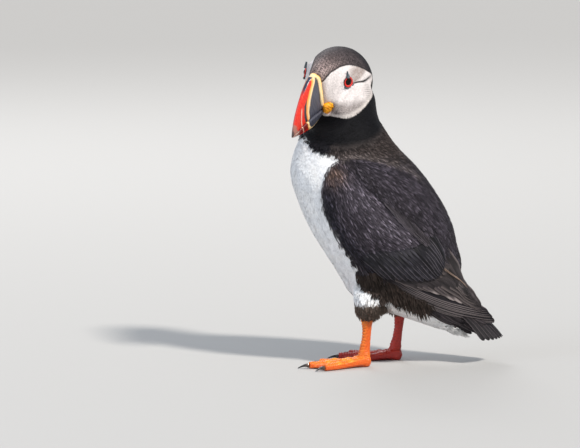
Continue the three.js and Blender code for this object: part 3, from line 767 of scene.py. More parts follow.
def head_colour(points):
    """Grey-brown on the forehead, darker over the crown, black behind and below, around the pale face."""
    head = to_head(points)
    angles = face_angles(points)
    speckle = wander(points, 1.6, 5)
    forward = smooth_step(-36, -2, head[:, 0]) ** 1.6 * smooth_step(8, 18, head[:, 2])
    colour = blend(PLUMAGE["crown"], PLUMAGE["forehead"], limited(forward * (0.8 + 0.35 * speckle)))
    colour = colour * (1 + 0.30 * speckle)[:, None]
    colour = blend(colour, PLUMAGE["nape"], smooth_step(-34, -50, head[:, 0]))
    colour = blend(colour, PLUMAGE["black"], smooth_step(0, -8, angles[:, 1]))
    depth = inside(angles, spline(FACE_OUTLINE, 120, closed=True))
    rim_line = bell(depth + 1.2, 1.5) * smooth_step(2, -2, head[:, 0])
    colour = blend(colour, PLUMAGE["black"], rim_line * 0.9)
    share = smooth_step(-0.55, 0.55, depth + 0.12 * speckle) * smooth_step(1.0, -1.0, head[:, 0])
    return blend(colour, face_colour(points, angles, depth), share)


def face_colour(points, angles, depth):
    """Pale grey, with a darker brow, painted shade on its lower edge, fine wrinkles and the dark line of the
    crease.
    """
    around, up = angles.T
    soft = wander(points, 8, 12)
    fine = wander(points, 2.2, 13)
    colour = np.tile(PLUMAGE["face"], (len(points), 1)) * (1 + 0.015 * soft + 0.03 * fine)[:, None]
    brow = smooth_step(72, 90, around) * smooth_step(14, 19, up) * (1 - smooth_step(34, 50, up))
    colour = blend(colour, PLUMAGE["face_brow"], limited(brow * (0.92 + 0.15 * fine)))
    # Painted shade: darker low on the face, where the cheek turns under.
    low = smooth_step(-4, -13.5, up + 0.6 * soft) * smooth_step(16, 34, around)
    colour = blend(colour, PLUMAGE["face_low"], low * 0.85)
    under_gape = bell(np.hypot((around - 33) / 1.7, up + 18.5), 3.6)
    colour = blend(colour, PLUMAGE["crown"], under_gape * 0.7)
    rear = bell(np.hypot((around - 97) / 1.3, up + 3), 9) * (0.5 + 0.5 * np.sin(around * 1.1 + up * 2.2))
    colour = blend(colour, PLUMAGE["face_low"] * 0.6, limited(rear) * 0.75)
    # Painted shade in fine wrinkles ahead of the eye, in a bluish grey.
    ahead_of_eye = bell(np.hypot((around - 54) / 2.4, up - 11), 3.4)
    lines = smooth_step(-0.2, 0.9, np.sin(up * 1.9 - around * 0.16 + 0.6 * soft))
    colour = blend(colour, PLUMAGE["wrinkle"], ahead_of_eye * lines * 0.75)
    # Painted shade: a little darker along the lower rim of the face.
    rim = (1 - smooth_step(1.5, 4.5, depth)) * smooth_step(5, -6, up)
    colour = blend(colour, PLUMAGE["rim"], rim * 0.8)
    gap, along = off_line(angles, spline(CREASE, 40))
    fade = smooth_step(0, 0.06, along) * (1 - 0.5 * smooth_step(0.8, 1, along))
    return blend(colour, PLUMAGE["black"], limited(bell(gap, 1.25 + 0.5 * along) * fade * 1.25))


# ---- Tufts ----

TUFT_PATCH = 0.003
STEPS_ALONG = 3
ROOT_SUNK = 0.12
# How much paler the palest strands of a dark tuft are than the rest.
PALE_STRANDS = 3.3
# How many places are tried for each root, and how close two roots may stand, as a share of the spacing.
TRIES_PER_ROOT, CLOSEST = 3.2, 0.86


def scatter(skin, spacing_at, seed, keep):
    """Roots over the skin where keep is above 0, with the spacing asked for: their places, and the
    three corners and weights of each."""
    draw = np.random.default_rng(seed)
    a, b, c = (skin.points[skin.triangles[:, k]] for k in range(3))
    area = np.linalg.norm(np.cross(b - a, c - a), axis=1) / 2
    middle = (a + b + c) / 3
    density = np.where(keep(middle) > 0, area / spacing_at(middle) ** 2, 0)
    tries = int(density.sum() * TRIES_PER_ROOT)
    chosen = draw.choice(len(area), tries, p=density / density.sum())
    r1, r2 = draw.random(tries) ** 0.5, draw.random(tries)
    weights = np.c_[1 - r1, r1 * (1 - r2), r1 * r2]
    corners = skin.triangles[chosen]
    roots = (skin.points[corners] * weights[..., None]).sum(1)
    radius = spacing_at(roots) * CLOSEST
    tree = tree_of(roots)
    free = np.ones(tries, bool)
    kept = []
    for i in range(tries):
        if free[i]:
            kept.append(i)
            for _, j, _ in tree.find_range(roots[i], radius[i]):
                free[j] = False
    return roots[kept], corners[kept], weights[kept]


def march(skin, roots, lengths, way):
    """Each tuft's line along the skin, or straight along one way: its places, normals and ways."""
    line = []
    place = roots.copy()
    near = skin.nearest(place)
    for _ in range(STEPS_ALONG + 1):
        if way is None:
            near = skin.nearest(place)
            place = place - share_along(place - skin.points[near], skin.normals[near])
        step_way = skin.lie[near] if way is None else np.broadcast_to(way, place.shape)
        normal = unit(skin.normals[near] - share_along(skin.normals[near], step_way))
        line.append((place, normal, step_way))
        place = place + step_way * (lengths / STEPS_ALONG)[:, None]
    return (np.stack(part, 1) for part in zip(*line))


def strand_rings(rings):
    """Where the rings of a strand stand along it, and how wide each is."""
    along = np.linspace(0, 1, rings + 2)[1:-1] ** 0.85
    return along, np.sin(np.pi * along**0.62) ** 0.6


def strand_faces(rings):
    """The triangles of a strand: its base point, rings of three points and its tip."""
    last = 1 + (rings - 1) * 3
    faces = []
    for i in range(3):
        j = (i + 1) % 3
        faces.append([0, 1 + j, 1 + i])
        for ring in range(rings - 1):
            a, b = 1 + ring * 3, 4 + ring * 3
            faces += [[a + i, a + j, b + j], [a + i, b + j, b + i]]
        faces.append([last + i, last + j, last + 3])
    return np.array(faces)[:, ::-1]


def grow_tufts(skin, chosen, *, length, width, lift, strands, rings, cup, spread, ragged, fat, seed,
               way=None):
    """Tufts of flat strands that fan out from their roots. Each array of the result has a row for each
    tuft, in it one for each strand, and in that one for each point."""
    roots, corners, weights = chosen
    draw = np.random.default_rng(seed)
    n = len(roots)
    length = length * draw.uniform(0.85, 1.15, n)
    places, normals, ways = march(skin, roots, length, way)
    sideways = unit(np.cross(normals, ways))
    # k is a strand's place across its tuft, from -1 to 1, and s the places of its rings along the tuft.
    k = np.linspace(-1, 1, strands)[None, :, None]
    ring_along, ring_wide = strand_rings(rings)
    reach = 1 - 0.22 * k**2 + draw.uniform(-ragged, ragged, (n, strands))[..., None]
    s = limited(reach * np.r_[0.0, ring_along, 1.0])
    cell = np.minimum((s * STEPS_ALONG).astype(int), STEPS_ALONG - 1)
    past = (s * STEPS_ALONG - cell)[..., None]
    rows = np.arange(n)[:, None, None]

    def read(table):
        return mixed(table[rows, cell], table[rows, cell + 1], past)

    # Each strand follows its tuft's line, moved aside by the fan and raised by the lift.
    centre, up, across = read(places), read(normals), read(sideways)
    tuft_width, tuft_reach, tuft_lift = (size[:, None, None] for size in (width, length, lift))
    twist = draw.normal(0, 0.07, (n, 1, 1)) + draw.normal(0, 0.05, (n, strands, 1))
    fan = (0.35 + 0.65 * np.minimum(1, s * 1.6)) * spread
    off = k * tuft_width / 2 * fan + twist * s * tuft_reach
    rise = tuft_lift * s**0.8 - cup * tuft_width * k**2 * 0.5
    rise = rise + draw.uniform(-0.5, 0.5, (n, strands, 1)) * fat * s
    centre = centre + across * off[..., None] + up * (rise - ROOT_SUNK * (s == 0))[..., None]
    # Its rings are flat triangles, with an edge to each side and a ridge on top.
    half = (tuft_width / strands * 0.78) * draw.uniform(0.8, 1.2, (n, strands, 1)) * ring_wide
    body = centre[:, :, 1:-1]
    side = across[:, :, 1:-1] * half[..., None]
    top = up[:, :, 1:-1] * fat
    ring_points = np.stack([body - side, body + top, body + side], 3)
    rounds = ring_points.reshape(n, strands, rings * 3, 3)
    points = np.concatenate([centre[:, :, :1], rounds, centre[:, :, -1:]], 2)
    starts = (np.arange(n * strands) * (rings * 3 + 2))[:, None, None]
    along = np.concatenate([s[:, :, :1], np.repeat(s[:, :, 1:-1], 3, 2), s[:, :, -1:]], 2)
    # On the map every tuft has a small patch at its root's place.
    aside = np.r_[0.0, np.tile([-1.0, 0.0, 1.0], rings), 0.0] / strands
    patch_x = (k * 0.8 + aside) * 0.5
    patch = np.stack([np.broadcast_to(patch_x, along.shape), along - 0.5], -1) * TUFT_PATCH
    return SimpleNamespace(
        roots=roots,
        normals=(skin.normals[corners] * weights[..., None]).sum(1),
        points=points,
        faces=(strand_faces(rings) + starts).reshape(-1, 3),
        map=(skin.uv[corners] * weights[..., None]).sum(1)[:, None, None] + patch,
        along=along,
        chance=np.broadcast_to(draw.random((n, 1, 1)), along.shape),
        strand_chance=np.broadcast_to(draw.random((n, strands, 1)), along.shape),
    )


def tufted_piece(name, skin, chosen, finish, paint, *, white, smoothness, **shape):
    """One joined piece of the coat. Its shading is eased towards that of the skin by smoothness."""
    tufts = grow_tufts(skin, chosen, **shape)
    points = tufts.points.reshape(-1, 3)
    piece = new_piece(name, points, tufts.faces, finish, paint(tufts).reshape(-1, 3))
    add_map(piece, tufts.map.reshape(-1, 2))
    own = point_normals(points, tufts.faces).reshape(tufts.points.shape)
    soft = unit(mixed(own, tufts.normals[:, None, None], smoothness)).reshape(-1, 3)
    piece.data.normals_split_custom_set_from_vertices(soft.astype(np.float32))
    settle(piece, "white_plumage" if white else "dark_plumage")


def add_map(piece, places):
    """The map named OFBake, from a place for each point."""
    mesh = piece.data
    corners = np.empty(len(mesh.loops), np.int32)
    mesh.loops.foreach_get("vertex_index", corners)
    layer = mesh.uv_layers.new(name="OFBake")
    layer.data.foreach_set("uv", places[corners].astype(np.float32).ravel())


def paint_dark(tufts):
    """The colour under each root: darker at the base of a tuft, with odd pale strands."""
    base = markings(tufts.roots, tufts.normals)[:, None, None]
    light = 0.5 + 0.5 * smooth_step(0, 0.55, tufts.along) + 0.3 * smooth_step(0.6, 1, tufts.along)
    odd = 0.72 + PALE_STRANDS * tufts.strand_chance**4 * tufts.along
    light = light * (1 + 0.3 * (tufts.chance - 0.5)) * odd
    return base * light[..., None]


def paint_white(tufts):
    """White, with tufts that hardly stand apart from one another."""
    base = markings(tufts.roots, tufts.normals)[:, None, None]
    light = 0.93 + 0.07 * smooth_step(0, 0.5, tufts.along)
    light = light + 0.07 * (tufts.chance - 0.5) + 0.05 * (tufts.strand_chance - 0.5)
    return np.clip(base * light[..., None], 0, 0.96)


def paint_face(tufts):
    """The markings at each point itself, for sharp borders. Dark feathers differ more than pale ones."""
    shape = tufts.points.shape
    normals = np.broadcast_to(tufts.normals[:, None, None], shape).reshape(-1, 3)
    colour = markings(tufts.points.reshape(-1, 3), normals).reshape(shape)
    contrast = 1 + 3.5 * (1 - smooth_step(0.2, 0.45, colour[..., 0]))
    light = 1 + contrast * (0.10 * (tufts.chance - 0.5) + 0.14 * (tufts.strand_chance - 0.5))
    light = light * (0.9 + 0.1 * smooth_step(0, 0.5, tufts.along))
    return colour * np.clip(light, 0.3, 2)[..., None]


def paint_plume(base):
    """One colour, paler towards the tips, with odd pale strands; a white one is kept from glowing."""
    brightest = 1.0 if base[0] > 0.5 else 2.5

    def paint(tufts):
        odd = 0.75 + 0.9 * tufts.strand_chance**3
        light = (0.7 + 0.5 * tufts.along) * (0.75 + 0.5 * tufts.chance) * odd
        return base * np.minimum(light, brightest)[..., None]

    return paint


# ---- Skin piece ----

def unwrapped(piece):
    """The map of the skin's own shape, as one place for each of its points."""
    bpy.context.view_layer.objects.active = piece
    piece.select_set(True)
    bpy.ops.object.mode_set(mode="EDIT")
    bpy.ops.mesh.select_all(action="SELECT")
    bpy.ops.uv.smart_project(angle_limit=math.radians(66), island_margin=0.004)
    bpy.ops.object.mode_set(mode="OBJECT")
    piece.select_set(False)
    mesh = piece.data
    layer = mesh.uv_layers[0]
    layer.name = "OFBake"
    uv = np.empty(len(mesh.loops) * 2, np.float32)
    layer.data.foreach_get("uv", uv)
    corners = np.empty(len(mesh.loops), np.int32)
    mesh.loops.foreach_get("vertex_index", corners)
    places = np.zeros((len(mesh.vertices), 2))
    places[corners] = uv.reshape(-1, 2)
    return places


def skin_piece(skin):
    """The skin, a little darker than the feathers over it."""
    finish = plumage_finish("skin_down", rough=0.78, sheen=0.0)
    piece = new_piece("skin", skin.points, skin.groups, finish, markings(skin.points, skin.normals) * 0.85)
    skin.uv = unwrapped(piece)
    settle(piece, "dark_plumage", *FLESH)


# ---- Coat ----

BODY_TUFT, BELLY_LONGER, NECK_TUFT, ANKLE_TUFT, BILL_TUFT, NAPE_LONGER = 6.6, 1.6, 3.9, 4.0, 1.7, 2.0
# The lowest feathers of the breast, the belly, the neck and the back.
BREAST_BASE, BELLY_BASE, NECK_FOOT, BACK_BASE = 110, 62, 140, 90
# Feathers keep this far from the middle of an eye, and behind this place ahead of the bill's base.
BARE_ROUND_EYE, BILL_SKIN_EDGE = 5.0, -0.9
# A tuft has its own room and more where it is longer, and a little less at the rear.
ROOM, ROOM_BY_LENGTH, CLOSER_AT_REAR = 0.54, 0.185, 0.15

# The look of each kind of coat: its paint, its width and lift as shares of the length and of the coat's
# depth, and the shape of its tufts.
COATS = {
    "face": (paint_face, 0.8, 0.45, dict(strands=4, cup=0.06, ragged=0.12, fat=0.08, smoothness=0.68)),
    "dark": (paint_dark, 0.58, 0.8, dict(strands=5, cup=0.14, ragged=0.14, fat=0.13, smoothness=0.45)),
    "white": (paint_white, 0.7, 0.30, dict(strands=5, cup=0.03, ragged=0.2, fat=0.05, smoothness=0.88)),
}


def tuft_length(points):
    """Length of a tuft at each place: short on the face, long on the belly."""
    head = to_head(points)
    head_share = on_head(points)
    size = BODY_TUFT + BELLY_LONGER * smooth_step(NECK_FOOT, BACK_BASE, points[:, 2])
    size = mixed(size, BILL_TUFT + NAPE_LONGER * smooth_step(-4, -45, head[:, 0]), head_share)
    size = mixed(size, NECK_TUFT, smooth_step(NECK_FOOT, NECK_FOOT + 15, points[:, 2]) * (1 - head_share))
    for ankle in ANKLES.values():
        size = mixed(size, ANKLE_TUFT, 1 - smooth_step(7, 20, np.linalg.norm(points - ankle, axis=1)))
    return size


def spacing(points):
    gap = ROOM + ROOM_BY_LENGTH * tuft_length(points)
    rear = smooth_step(-25, -45, points[:, 0]) * smooth_step(60, 45, points[:, 2])
    return gap * (1 - CLOSER_AT_REAR * rear)


def coat_zones(roots, normals):
    """Each piece of the coat: where it grows, if no piece before it does, and its kind."""
    left = to_head(roots)[:, 1] > 0
    head = on_head(roots) > 0.5
    wing_share = on_wing(roots, normals)
    wing = wing_share > 0.5
    white = white_off_wing(roots, ruffled(roots), wing_share) > 0.5
    height = roots[:, 2]
    return {
        "coat_head_left": (head & left, "face"),
        "coat_head_right": (head & ~left, "face"),
        "coat_wing_left": (wing & (roots[:, 1] > 0), "dark"),
        "coat_wing_right": (wing & (roots[:, 1] <= 0), "dark"),
        "coat_breast": (white & (height > BREAST_BASE), "white"),
        "coat_belly": (white & (height > BELLY_BASE), "white"),
        "coat_vent": (white, "white"),
        "coat_neck": (height > NECK_FOOT, "dark"),
        "coat_back": (height > BACK_BASE, "dark"),
        "coat_rump": (height <= BACK_BASE, "dark"),
    }


def build_coat(skin):
    finish = plumage_finish("feathers")
    roots, corners, weights = scatter(skin, spacing, 11, feathered)
    normals = (skin.normals[corners] * weights[..., None]).sum(1)
    taken = np.zeros(len(roots), bool)
    for seed, (name, (zone, kind)) in enumerate(coat_zones(roots, normals).items()):
        zone = zone & ~taken
        taken |= zone
        paint, wide, raised, shape = COATS[kind]
        length = tuft_length(roots[zone])
        tufted_piece(
            name, skin, (roots[zone], corners[zone], weights[zone]), finish, paint, white=kind == "white",
            length=length, width=length * wide, lift=coat_depth(roots[zone]) * raised, rings=2, spread=1.0,
            seed=100 + seed, **shape,
        )


def feathered(points):
    """Above 0 where feathers grow: not in front of the bill's base and not round the eyes."""
    head = to_head(points)
    one_side = np.c_[head[:, 0], np.abs(head[:, 1]), head[:, 2]]
    x, y, z = one_side.T
    off_bill = np.maximum(np.maximum(BILL_SKIN_EDGE - x, y - 13), np.abs(z - 6) - 22)
    return np.minimum(off_bill, np.linalg.norm(one_side - EYE_CENTRE, axis=1) - BARE_ROUND_EYE)


# ---- Plumes: the flank, under the tail and above the feet ----

PLUME_SHAPE = dict(strands=7, rings=3, cup=0.12, spread=1.25, ragged=0.16, fat=0.16, smoothness=0.4)


def flank_edge(side_name):
    """Where the dark lower flank of one side meets the white."""

    def keep(points):
        place = side_view(points)
        gap, _ = off_line(place, spline(WHITE_BORDER, 90))
        x, y, z = points.T
        return (inside_white(place) < 0) & (gap < 12) & (z < 70) & (x > -19) & (y * SIDES[side_name] > 9)

    return keep


def garter_place(side_name):
    """The outer side of the leg, just above the foot."""

    def keep(points):
        away = np.linalg.norm((points - ANKLES[side_name])[:, :2], axis=1)
        height = points[:, 2] - ANKLES[side_name][2]
        return (points[:, 1] * SIDES[side_name] > 10.5) & (away < 12.5) & (height > 1) & (height < 9.5)

    return keep


def tail_base_below(points):
    """Under the root of the tail."""
    border = np.interp(points[:, 0], [-62, -46, -30], [12.5, 21.5, 31])
    return (points[:, 0] < -34) & (points[:, 2] < border)


def build_plumes(skin):
    finish = plumage_finish("long_plumes", rough=0.68)
    flank = (10.5, 4.4, 1.2, 2.2, (-0.34, 0.0, -1.0), "flank")
    garter = (4.3, 2.2, 0.6, 1.3, (-0.06, 0.0, -1.0), "garter")
    # Each piece: where it grows, its length, width, lift, spacing and way, and its colour.
    plumes = {
        "flank_plumes_left": (flank_edge("left"), *flank),
        "flank_plumes_right": (flank_edge("right"), *flank),
        "tail_coverts_below": (tail_base_below, 8, 4.6, 0.2, 1.9, (-0.88, 0.0, -0.47), "white"),
        "garter_left": (garter_place("left"), *garter),
        "garter_right": (garter_place("right"), *garter),
    }
    for seed, (name, (where, length, width, lift, gap, way, colour)) in enumerate(plumes.items()):
        chosen = scatter(skin, lambda points, gap=gap: np.full(len(points), gap), 300 + seed, where)
        count = len(chosen[0])
        tufted_piece(
            name, skin, chosen, finish, paint_plume(PLUMAGE[colour]), white=colour == "white",
            length=length * (0.8 + 0.4 * np.random.default_rng(seed).random(count)),
            width=np.full(count, width), lift=np.full(count, lift), way=unit(np.array(way)),
            seed=310 + seed, **PLUME_SHAPE,
        )


# ---- Bill, in the head frame ----

# The outlines of the bill from the side, as x and z, and its half width along x.
CULMEN = [
    (-1.6, 23.4), (0.5, 24.2), (4.3, 25.6), (10, 23.9), (16.7, 18.9), (21.8, 14), (26.4, 8.2), (30.6, 1),
    (34.2, -7),
]
MOUTH_LINE = [(-1.6, -1.4), (0.5, -1.5), (10, -1.9), (18, -2.9), (26, -4.7), (34.2, -7.6)]
KEEL = [(-1.6, -7.6), (0.5, -8.7), (5, -11), (10.5, -12.3), (18, -11.8), (26, -10.2), (33.4, -8.4)]
BILL_HALF_WIDTHS = [(0, 5.6), (6.8, 5), (13.7, 4.2), (20.5, 3.2), (27.4, 2.2), (34.2, 0.7)]
BILL_BASE, UPPER_LENGTH, LOWER_LENGTH = -1.4, 34.2, 33.4
MOUTH_GAP = 0.25
BILL_ROWS, BILL_COLUMNS = 150, 128
CERE_MIDDLE, CERE_HALF_HEIGHT, CERE_HALF_WIDTH, CERE_ARC = 11.4, 13.6, 5.2, 166
# Lines across the side of the upper bill, as z and x.
CERE_INNER = [
    (-2, -0.9), (0.2, -0.4), (3, 1.6), (7.3, 2.6), (14.9, 2.3), (21.7, 0.9), (23.2, 1.3), (24.4, 2.6),
]
RIDGE_INNER = [
    (-4.1, 15.6), (4.1, 15.9), (8.5, 14.6), (12.2, 13.1), (16, 10.5), (19, 8), (22, 4.6), (24, 2.8),
]
RIDGE_OUTER = [(-3.6, 17.2), (0, 18.6), (5.7, 19), (9.5, 18.1), (13, 16.4), (18.1, 12.6), (23.2, 7.4)]
DARK_OUTER = [(-4, 19.9), (2, 21.1), (6.6, 21), (10, 19.7), (12.8, 17.4), (14.5, 15.4)]
PALE_GROOVE = [(-8, 23.6), (-5, 24.2), (0, 24.7), (3.4, 24.3), (7, 23.3), (10.1, 22.2)]
TIP_EDGE = [(-9, 28), (-5, 29), (0, 30.8), (3, 32.5)]
# The pale ridge round the lower plate and the groove ahead of it, as x and z.
LOWER_RIDGE = [(17.6, -3.6), (16.9, -6.4), (14.6, -9.6), (11, -11), (7, -10.6), (3.4, -9.2), (-1.6, -7.2)]
LOWER_CORNERS = [(-4, 2), (19, 2)]
LOWER_GROOVE = [(23.6, -4.4), (22.6, -7.4), (20.8, -10.8)]

BILL = palette(
    slate=(0.075, 0.078, 0.105),
    slate_dark=(0.030, 0.030, 0.045),
    cream=(0.93, 0.66, 0.36),
    ridge_orange=(0.90, 0.36, 0.06),
    cere=(0.93, 0.60, 0.22),
    red=(0.62, 0.012, 0.005),
    red_light=(0.72, 0.040, 0.010),
    red_dark=(0.16, 0.010, 0.010),
    tip=(0.30, 0.17, 0.13),
    tip_dark=(0.050, 0.030, 0.028),
    navy=(0.020, 0.024, 0.055),
    groove=(0.80, 0.52, 0.38),
)


def line_at(line, place):
    """The second number of a line where its first is the one given."""
    return np.interp(place, *np.array(line, float).T)


def bill_surface(upper, lower, x_to, ridge):
    """Rings across half of the bill: places, and how far up each ring. Above 0, ridge narrows the top;
    below 0, the bottom. The other edge, at the mouth, is blunt."""
    x = BILL_BASE + (x_to - BILL_BASE) * np.linspace(0, 1, BILL_ROWS) ** 0.9
    top = line_at(spline(upper, 200), x)
    bottom = np.minimum(line_at(spline(lower, 200), x), top - 0.4)
    end = np.sqrt(limited((x_to + 0.3 - x) / 3.0))
    half = line_at(BILL_HALF_WIDTHS, np.maximum(x, 0)) * (0.25 + 0.75 * end)
    angle = ring_angles(BILL_COLUMNS)
    up, out = np.cos(angle)[None], np.sin(angle)[None]
    at_mouth = (up * ridge < 0).astype(float)
    tall = np.sign(up) * np.abs(up) ** (1 - 0.45 * at_mouth)
    height = (top + bottom)[:, None] / 2 + tall * (top - bottom)[:, None] / 2
    side = half[:, None] * np.sign(out) * np.abs(out) ** (0.8 - 0.45 * at_mouth) * (1 - ridge * up)
    points = np.stack([np.broadcast_to(x[:, None], height.shape), side, height], -1).reshape(-1, 3)
    return points, np.broadcast_to(up, height.shape).ravel()


def upper_bill_look(points, up):
    """Relief and colour over the side of the upper bill."""
    x, z = points[:, 0], points[:, 2]
    inner, outer = line_at(RIDGE_INNER, z), line_at(RIDGE_OUTER, z)
    dark, groove, tip = line_at(DARK_OUTER, z), line_at(PALE_GROOVE, z), line_at(TIP_EDGE, z)
    fine, streak = wander(points, 1.6, 31), wander(points * np.array([1, 1, 0.18]), 1.3, 32)
    plate = blend(BILL["slate"], BILL["slate_dark"], limited(0.35 + 0.3 * streak))
    ridge_share = smooth_step(-0.25, 0.25, x - inner) * (1 - smooth_step(-0.25, 0.25, x - outer))
    across = limited((x - inner) / np.maximum(outer - inner, 0.3))
    ridge = blend(BILL["cream"], BILL["ridge_orange"], smooth_step(0.4, 0.9, across))
    red = blend(BILL["red"], BILL["red_light"], limited(0.4 + 0.35 * streak))
    past = smooth_step(outer - 0.2, outer + 0.2, x)
    colour = blend(plate, red, past)
    strip = past * (1 - smooth_step(dark - 0.3, dark + 0.3, x)) * smooth_step(15, 12, z)
    colour = blend(colour, BILL["slate_dark"], strip)
    colour = blend(colour, ridge, ridge_share)
    pale = bell(x - groove, 0.42) * smooth_step(10.5, 8, z)
    colour = blend(colour, BILL["groove"], pale)
    groove_dark = bell(x - groove - 0.75, 0.3) * smooth_step(10, 7, z)
    colour = blend(colour, BILL["red_dark"], groove_dark * 0.7)
    colour = blend(colour, BILL["tip"], smooth_step(-1.2, 0.8, x - tip + 0.5 * fine) * 0.85)
    colour = blend(colour, BILL["tip_dark"], smooth_step(31.6, 33.4, x + 0.3 * fine))
    # Painted shade: a navy line along the top of the upper bill, the side of the ridge turned from the
    # light.
    crest = smooth_step(0.93, 0.985, up) * (1 - smooth_step(14, 19, x)) * smooth_step(4, 6, x)
    colour = blend(colour, BILL["navy"], crest)
    lip = smooth_step(-0.93, -0.99, up) * (1 - smooth_step(15, 17, x))
    colour = blend(colour, BILL["slate_dark"], lip)
    relief = 0.42 * ridge_share * np.sin(np.pi * across) ** 0.7
    relief -= 0.30 * bell(x - groove, 0.5) * smooth_step(10.5, 8, z)
    relief -= 0.26 * bell(x - dark + 0.7, 0.7) * smooth_step(15, 12, z) * past
    relief -= 0.14 * (1 - ridge_share) * (1 - past) * smooth_step(2.5, 6, x)
    relief += 0.03 * streak + 0.02 * fine
    return relief, colour


def lower_bill_look(points, _):
    """Relief and colour over the side of the lower bill, which has no crest."""
    x, z = points[:, 0], points[:, 2]
    place = side_view(points)
    fine, streak = wander(points, 1.6, 41), wander(points * np.array([0.5, 1, 0.5]), 1.3, 42)
    line = spline(LOWER_RIDGE, 60)
    gap, along = off_line(place, line)
    within = inside(place, np.vstack([line, LOWER_CORNERS]))
    plate = blend(BILL["slate"], BILL["slate_dark"], limited(0.4 + 0.3 * streak))
    red = blend(BILL["red_dark"], BILL["red"], smooth_step(-7.4, -9.2, z + 0.12 * (x - 20)))
    colour = blend(red, plate, smooth_step(-0.2, 0.2, within))
    width = 0.95 + 0.35 * bell(along - 0.42, 0.2)
    ridge_share = 1 - smooth_step(width - 0.25, width + 0.15, gap)
    ridge = blend(BILL["cream"], BILL["ridge_orange"], smooth_step(0.1, -0.9, within))
    colour = blend(colour, ridge, ridge_share)
    groove_gap, _ = off_line(place, spline(LOWER_GROOVE, 20))
    colour = blend(colour, BILL["groove"], bell(groove_gap, 0.38) * 0.9)
    colour = blend(colour, BILL["tip"], smooth_step(26.4, 28.6, x + 0.5 * fine) * 0.85)
    relief = 0.30 * ridge_share - 0.22 * bell(groove_gap, 0.5) + 0.03 * streak + 0.02 * fine
    return relief, colour


def bill_half(name, rings, look, finish, node):
    """One half of the bill, with the relief raised from its sides."""
    points, up = rings
    faces = closed_rings(BILL_ROWS, BILL_COLUMNS)
    normals = point_normals(points, as_triangles(faces))
    if (normals[:, 1] * points[:, 1]).sum() < 0:
        faces = turned_over(faces)
        normals = -normals
    relief, colour = look(points, up)
    side = np.abs(normals[:, 1]) ** 0.5
    points = points + normals * (relief * side * smooth_step(0, 1.2, np.abs(points[:, 1])))[:, None]
    settle(new_piece(name, from_head(points), faces, finish, colour), "bill", node)


def cere_piece(finish):
    """The pale band of thick skin that arches over the base of the upper bill."""
    steps, sides = 150, 20
    t = np.linspace(-1, 1, steps)
    angle = t * math.radians(CERE_ARC)
    height = CERE_MIDDLE + np.cos(angle) * CERE_HALF_HEIGHT
    inner = line_at(CERE_INNER, height)
    half = line_at(BILL_HALF_WIDTHS, np.maximum(inner, 0))
    ridge_width = half * np.sign(angle) * np.abs(np.sin(angle)) ** 0.8 * (1 - 0.3 * np.cos(angle))
    middle = np.c_[inner - 1.5, ridge_width * 1.06, height]
    outward = np.c_[np.zeros(steps), np.sin(angle) / CERE_HALF_WIDTH, np.cos(angle) / CERE_HALF_HEIGHT]
    outward = unit(outward)
    forward = np.tile([1.0, 0, 0], (steps, 1))
    around = ring_angles(sides)
    width = 1.95 - 0.25 * np.abs(t)
    taper = np.clip((1 - np.abs(t)) / 0.05, 0.15, 1) ** 0.5
    bead = 1 + 0.05 * np.sin(t * 90)
    points = swept(middle, forward, width * taper, outward, taper * bead, around)
    points = points + (wander(points, 1.5, 51) * 0.05)[:, None] * np.repeat(outward, sides, 0)
    front = np.tile(np.cos(around), steps)
    colour = blend(BILL["cere"], BILL["cream"], smooth_step(-0.1, 0.5, front))
    colour = blend(colour, BILL["ridge_orange"], smooth_step(-0.2, -0.9, front) * 0.9)
    colour = colour * (1 + 0.10 * wander(points, 1.4, 52))[:, None]
    piece = new_piece("cere_band", from_head(points), closed_rings(steps, sides), finish, colour)
    settle(piece, "cere", "cere")


def build_bill():
    horn = painted_finish("bill_horn", 0.34, 700, 0.08, 0.14, Coat_Weight=0.35, Coat_Roughness=0.25)
    soft = painted_finish("cere_skin", 0.5, 900, 0.15, 0.16, Subsurface_Weight=0.1)
    upper = bill_surface(CULMEN, MOUTH_LINE, UPPER_LENGTH, 0.3)
    lowered = [(x, z - MOUTH_GAP) for x, z in MOUTH_LINE]
    lower = bill_surface(lowered, KEEL, LOWER_LENGTH, -0.3)
    bill_half("upper_bill", upper, upper_bill_look, horn, "bill_upper")
    bill_half("lower_bill", lower, lower_bill_look, horn, "bill_lower")
    cere_piece(soft)


# ---- Rosettes, eyes and the plates round them ----

EYE_CENTRE, EYE_YAW, EYE_TILT = (-18.0, 17.0, 14.0), 68, 6
CORNEA_BULGE, CORNEA_WIDTH = 0.3, 1.9
EYE_RADIUS, EYE_SUNK = 4.2, 3.15
ROSETTE_CENTRE, ROSETTE_YAW, ROSETTE_TILT = (-3.2, 8.7, -1.2), 62, -14
ROSETTE_RADIUS, ROSETTE_HEIGHT = 4.35, 1.75
OUT_OF_FACE = [0.0, 0.0, 1.0]

FACE_SKIN = palette(
    lid=(0.60, 0.014, 0.008),
    lid_edge=(0.02, 0.012, 0.012),
    plate=(0.085, 0.115, 0.135),
    rosette_yellow=(0.88, 0.39, 0.008),
    rosette_orange=(0.70, 0.135, 0.004),
    rosette_crease=(0.16, 0.035, 0.004),
)


def face_frame(centre, yaw, tilt, side):
    """A frame on the side of the head: ahead, up the face and out of it."""
    yaw, tilt = math.radians(yaw), math.radians(tilt)
    out = np.array([math.cos(yaw) * math.cos(tilt), side * math.sin(yaw) * math.cos(tilt), math.sin(tilt)])
    up = unit(np.array([0, 0, 1]) - out * out[2])
    ahead = np.cross(up, out) * side
    place = np.array(centre) * np.array([1, side, 1])
    return place, np.array([ahead, up, out])


def on_face(points, frame_on_face):
    """Places given in a frame on the side of the head, in the bird's frame."""
    place, axes = frame_on_face
    return from_head(place + points @ axes)


def round_eye(points, side):
    return on_face(points, face_frame(EYE_CENTRE, EYE_YAW, EYE_TILT, side))


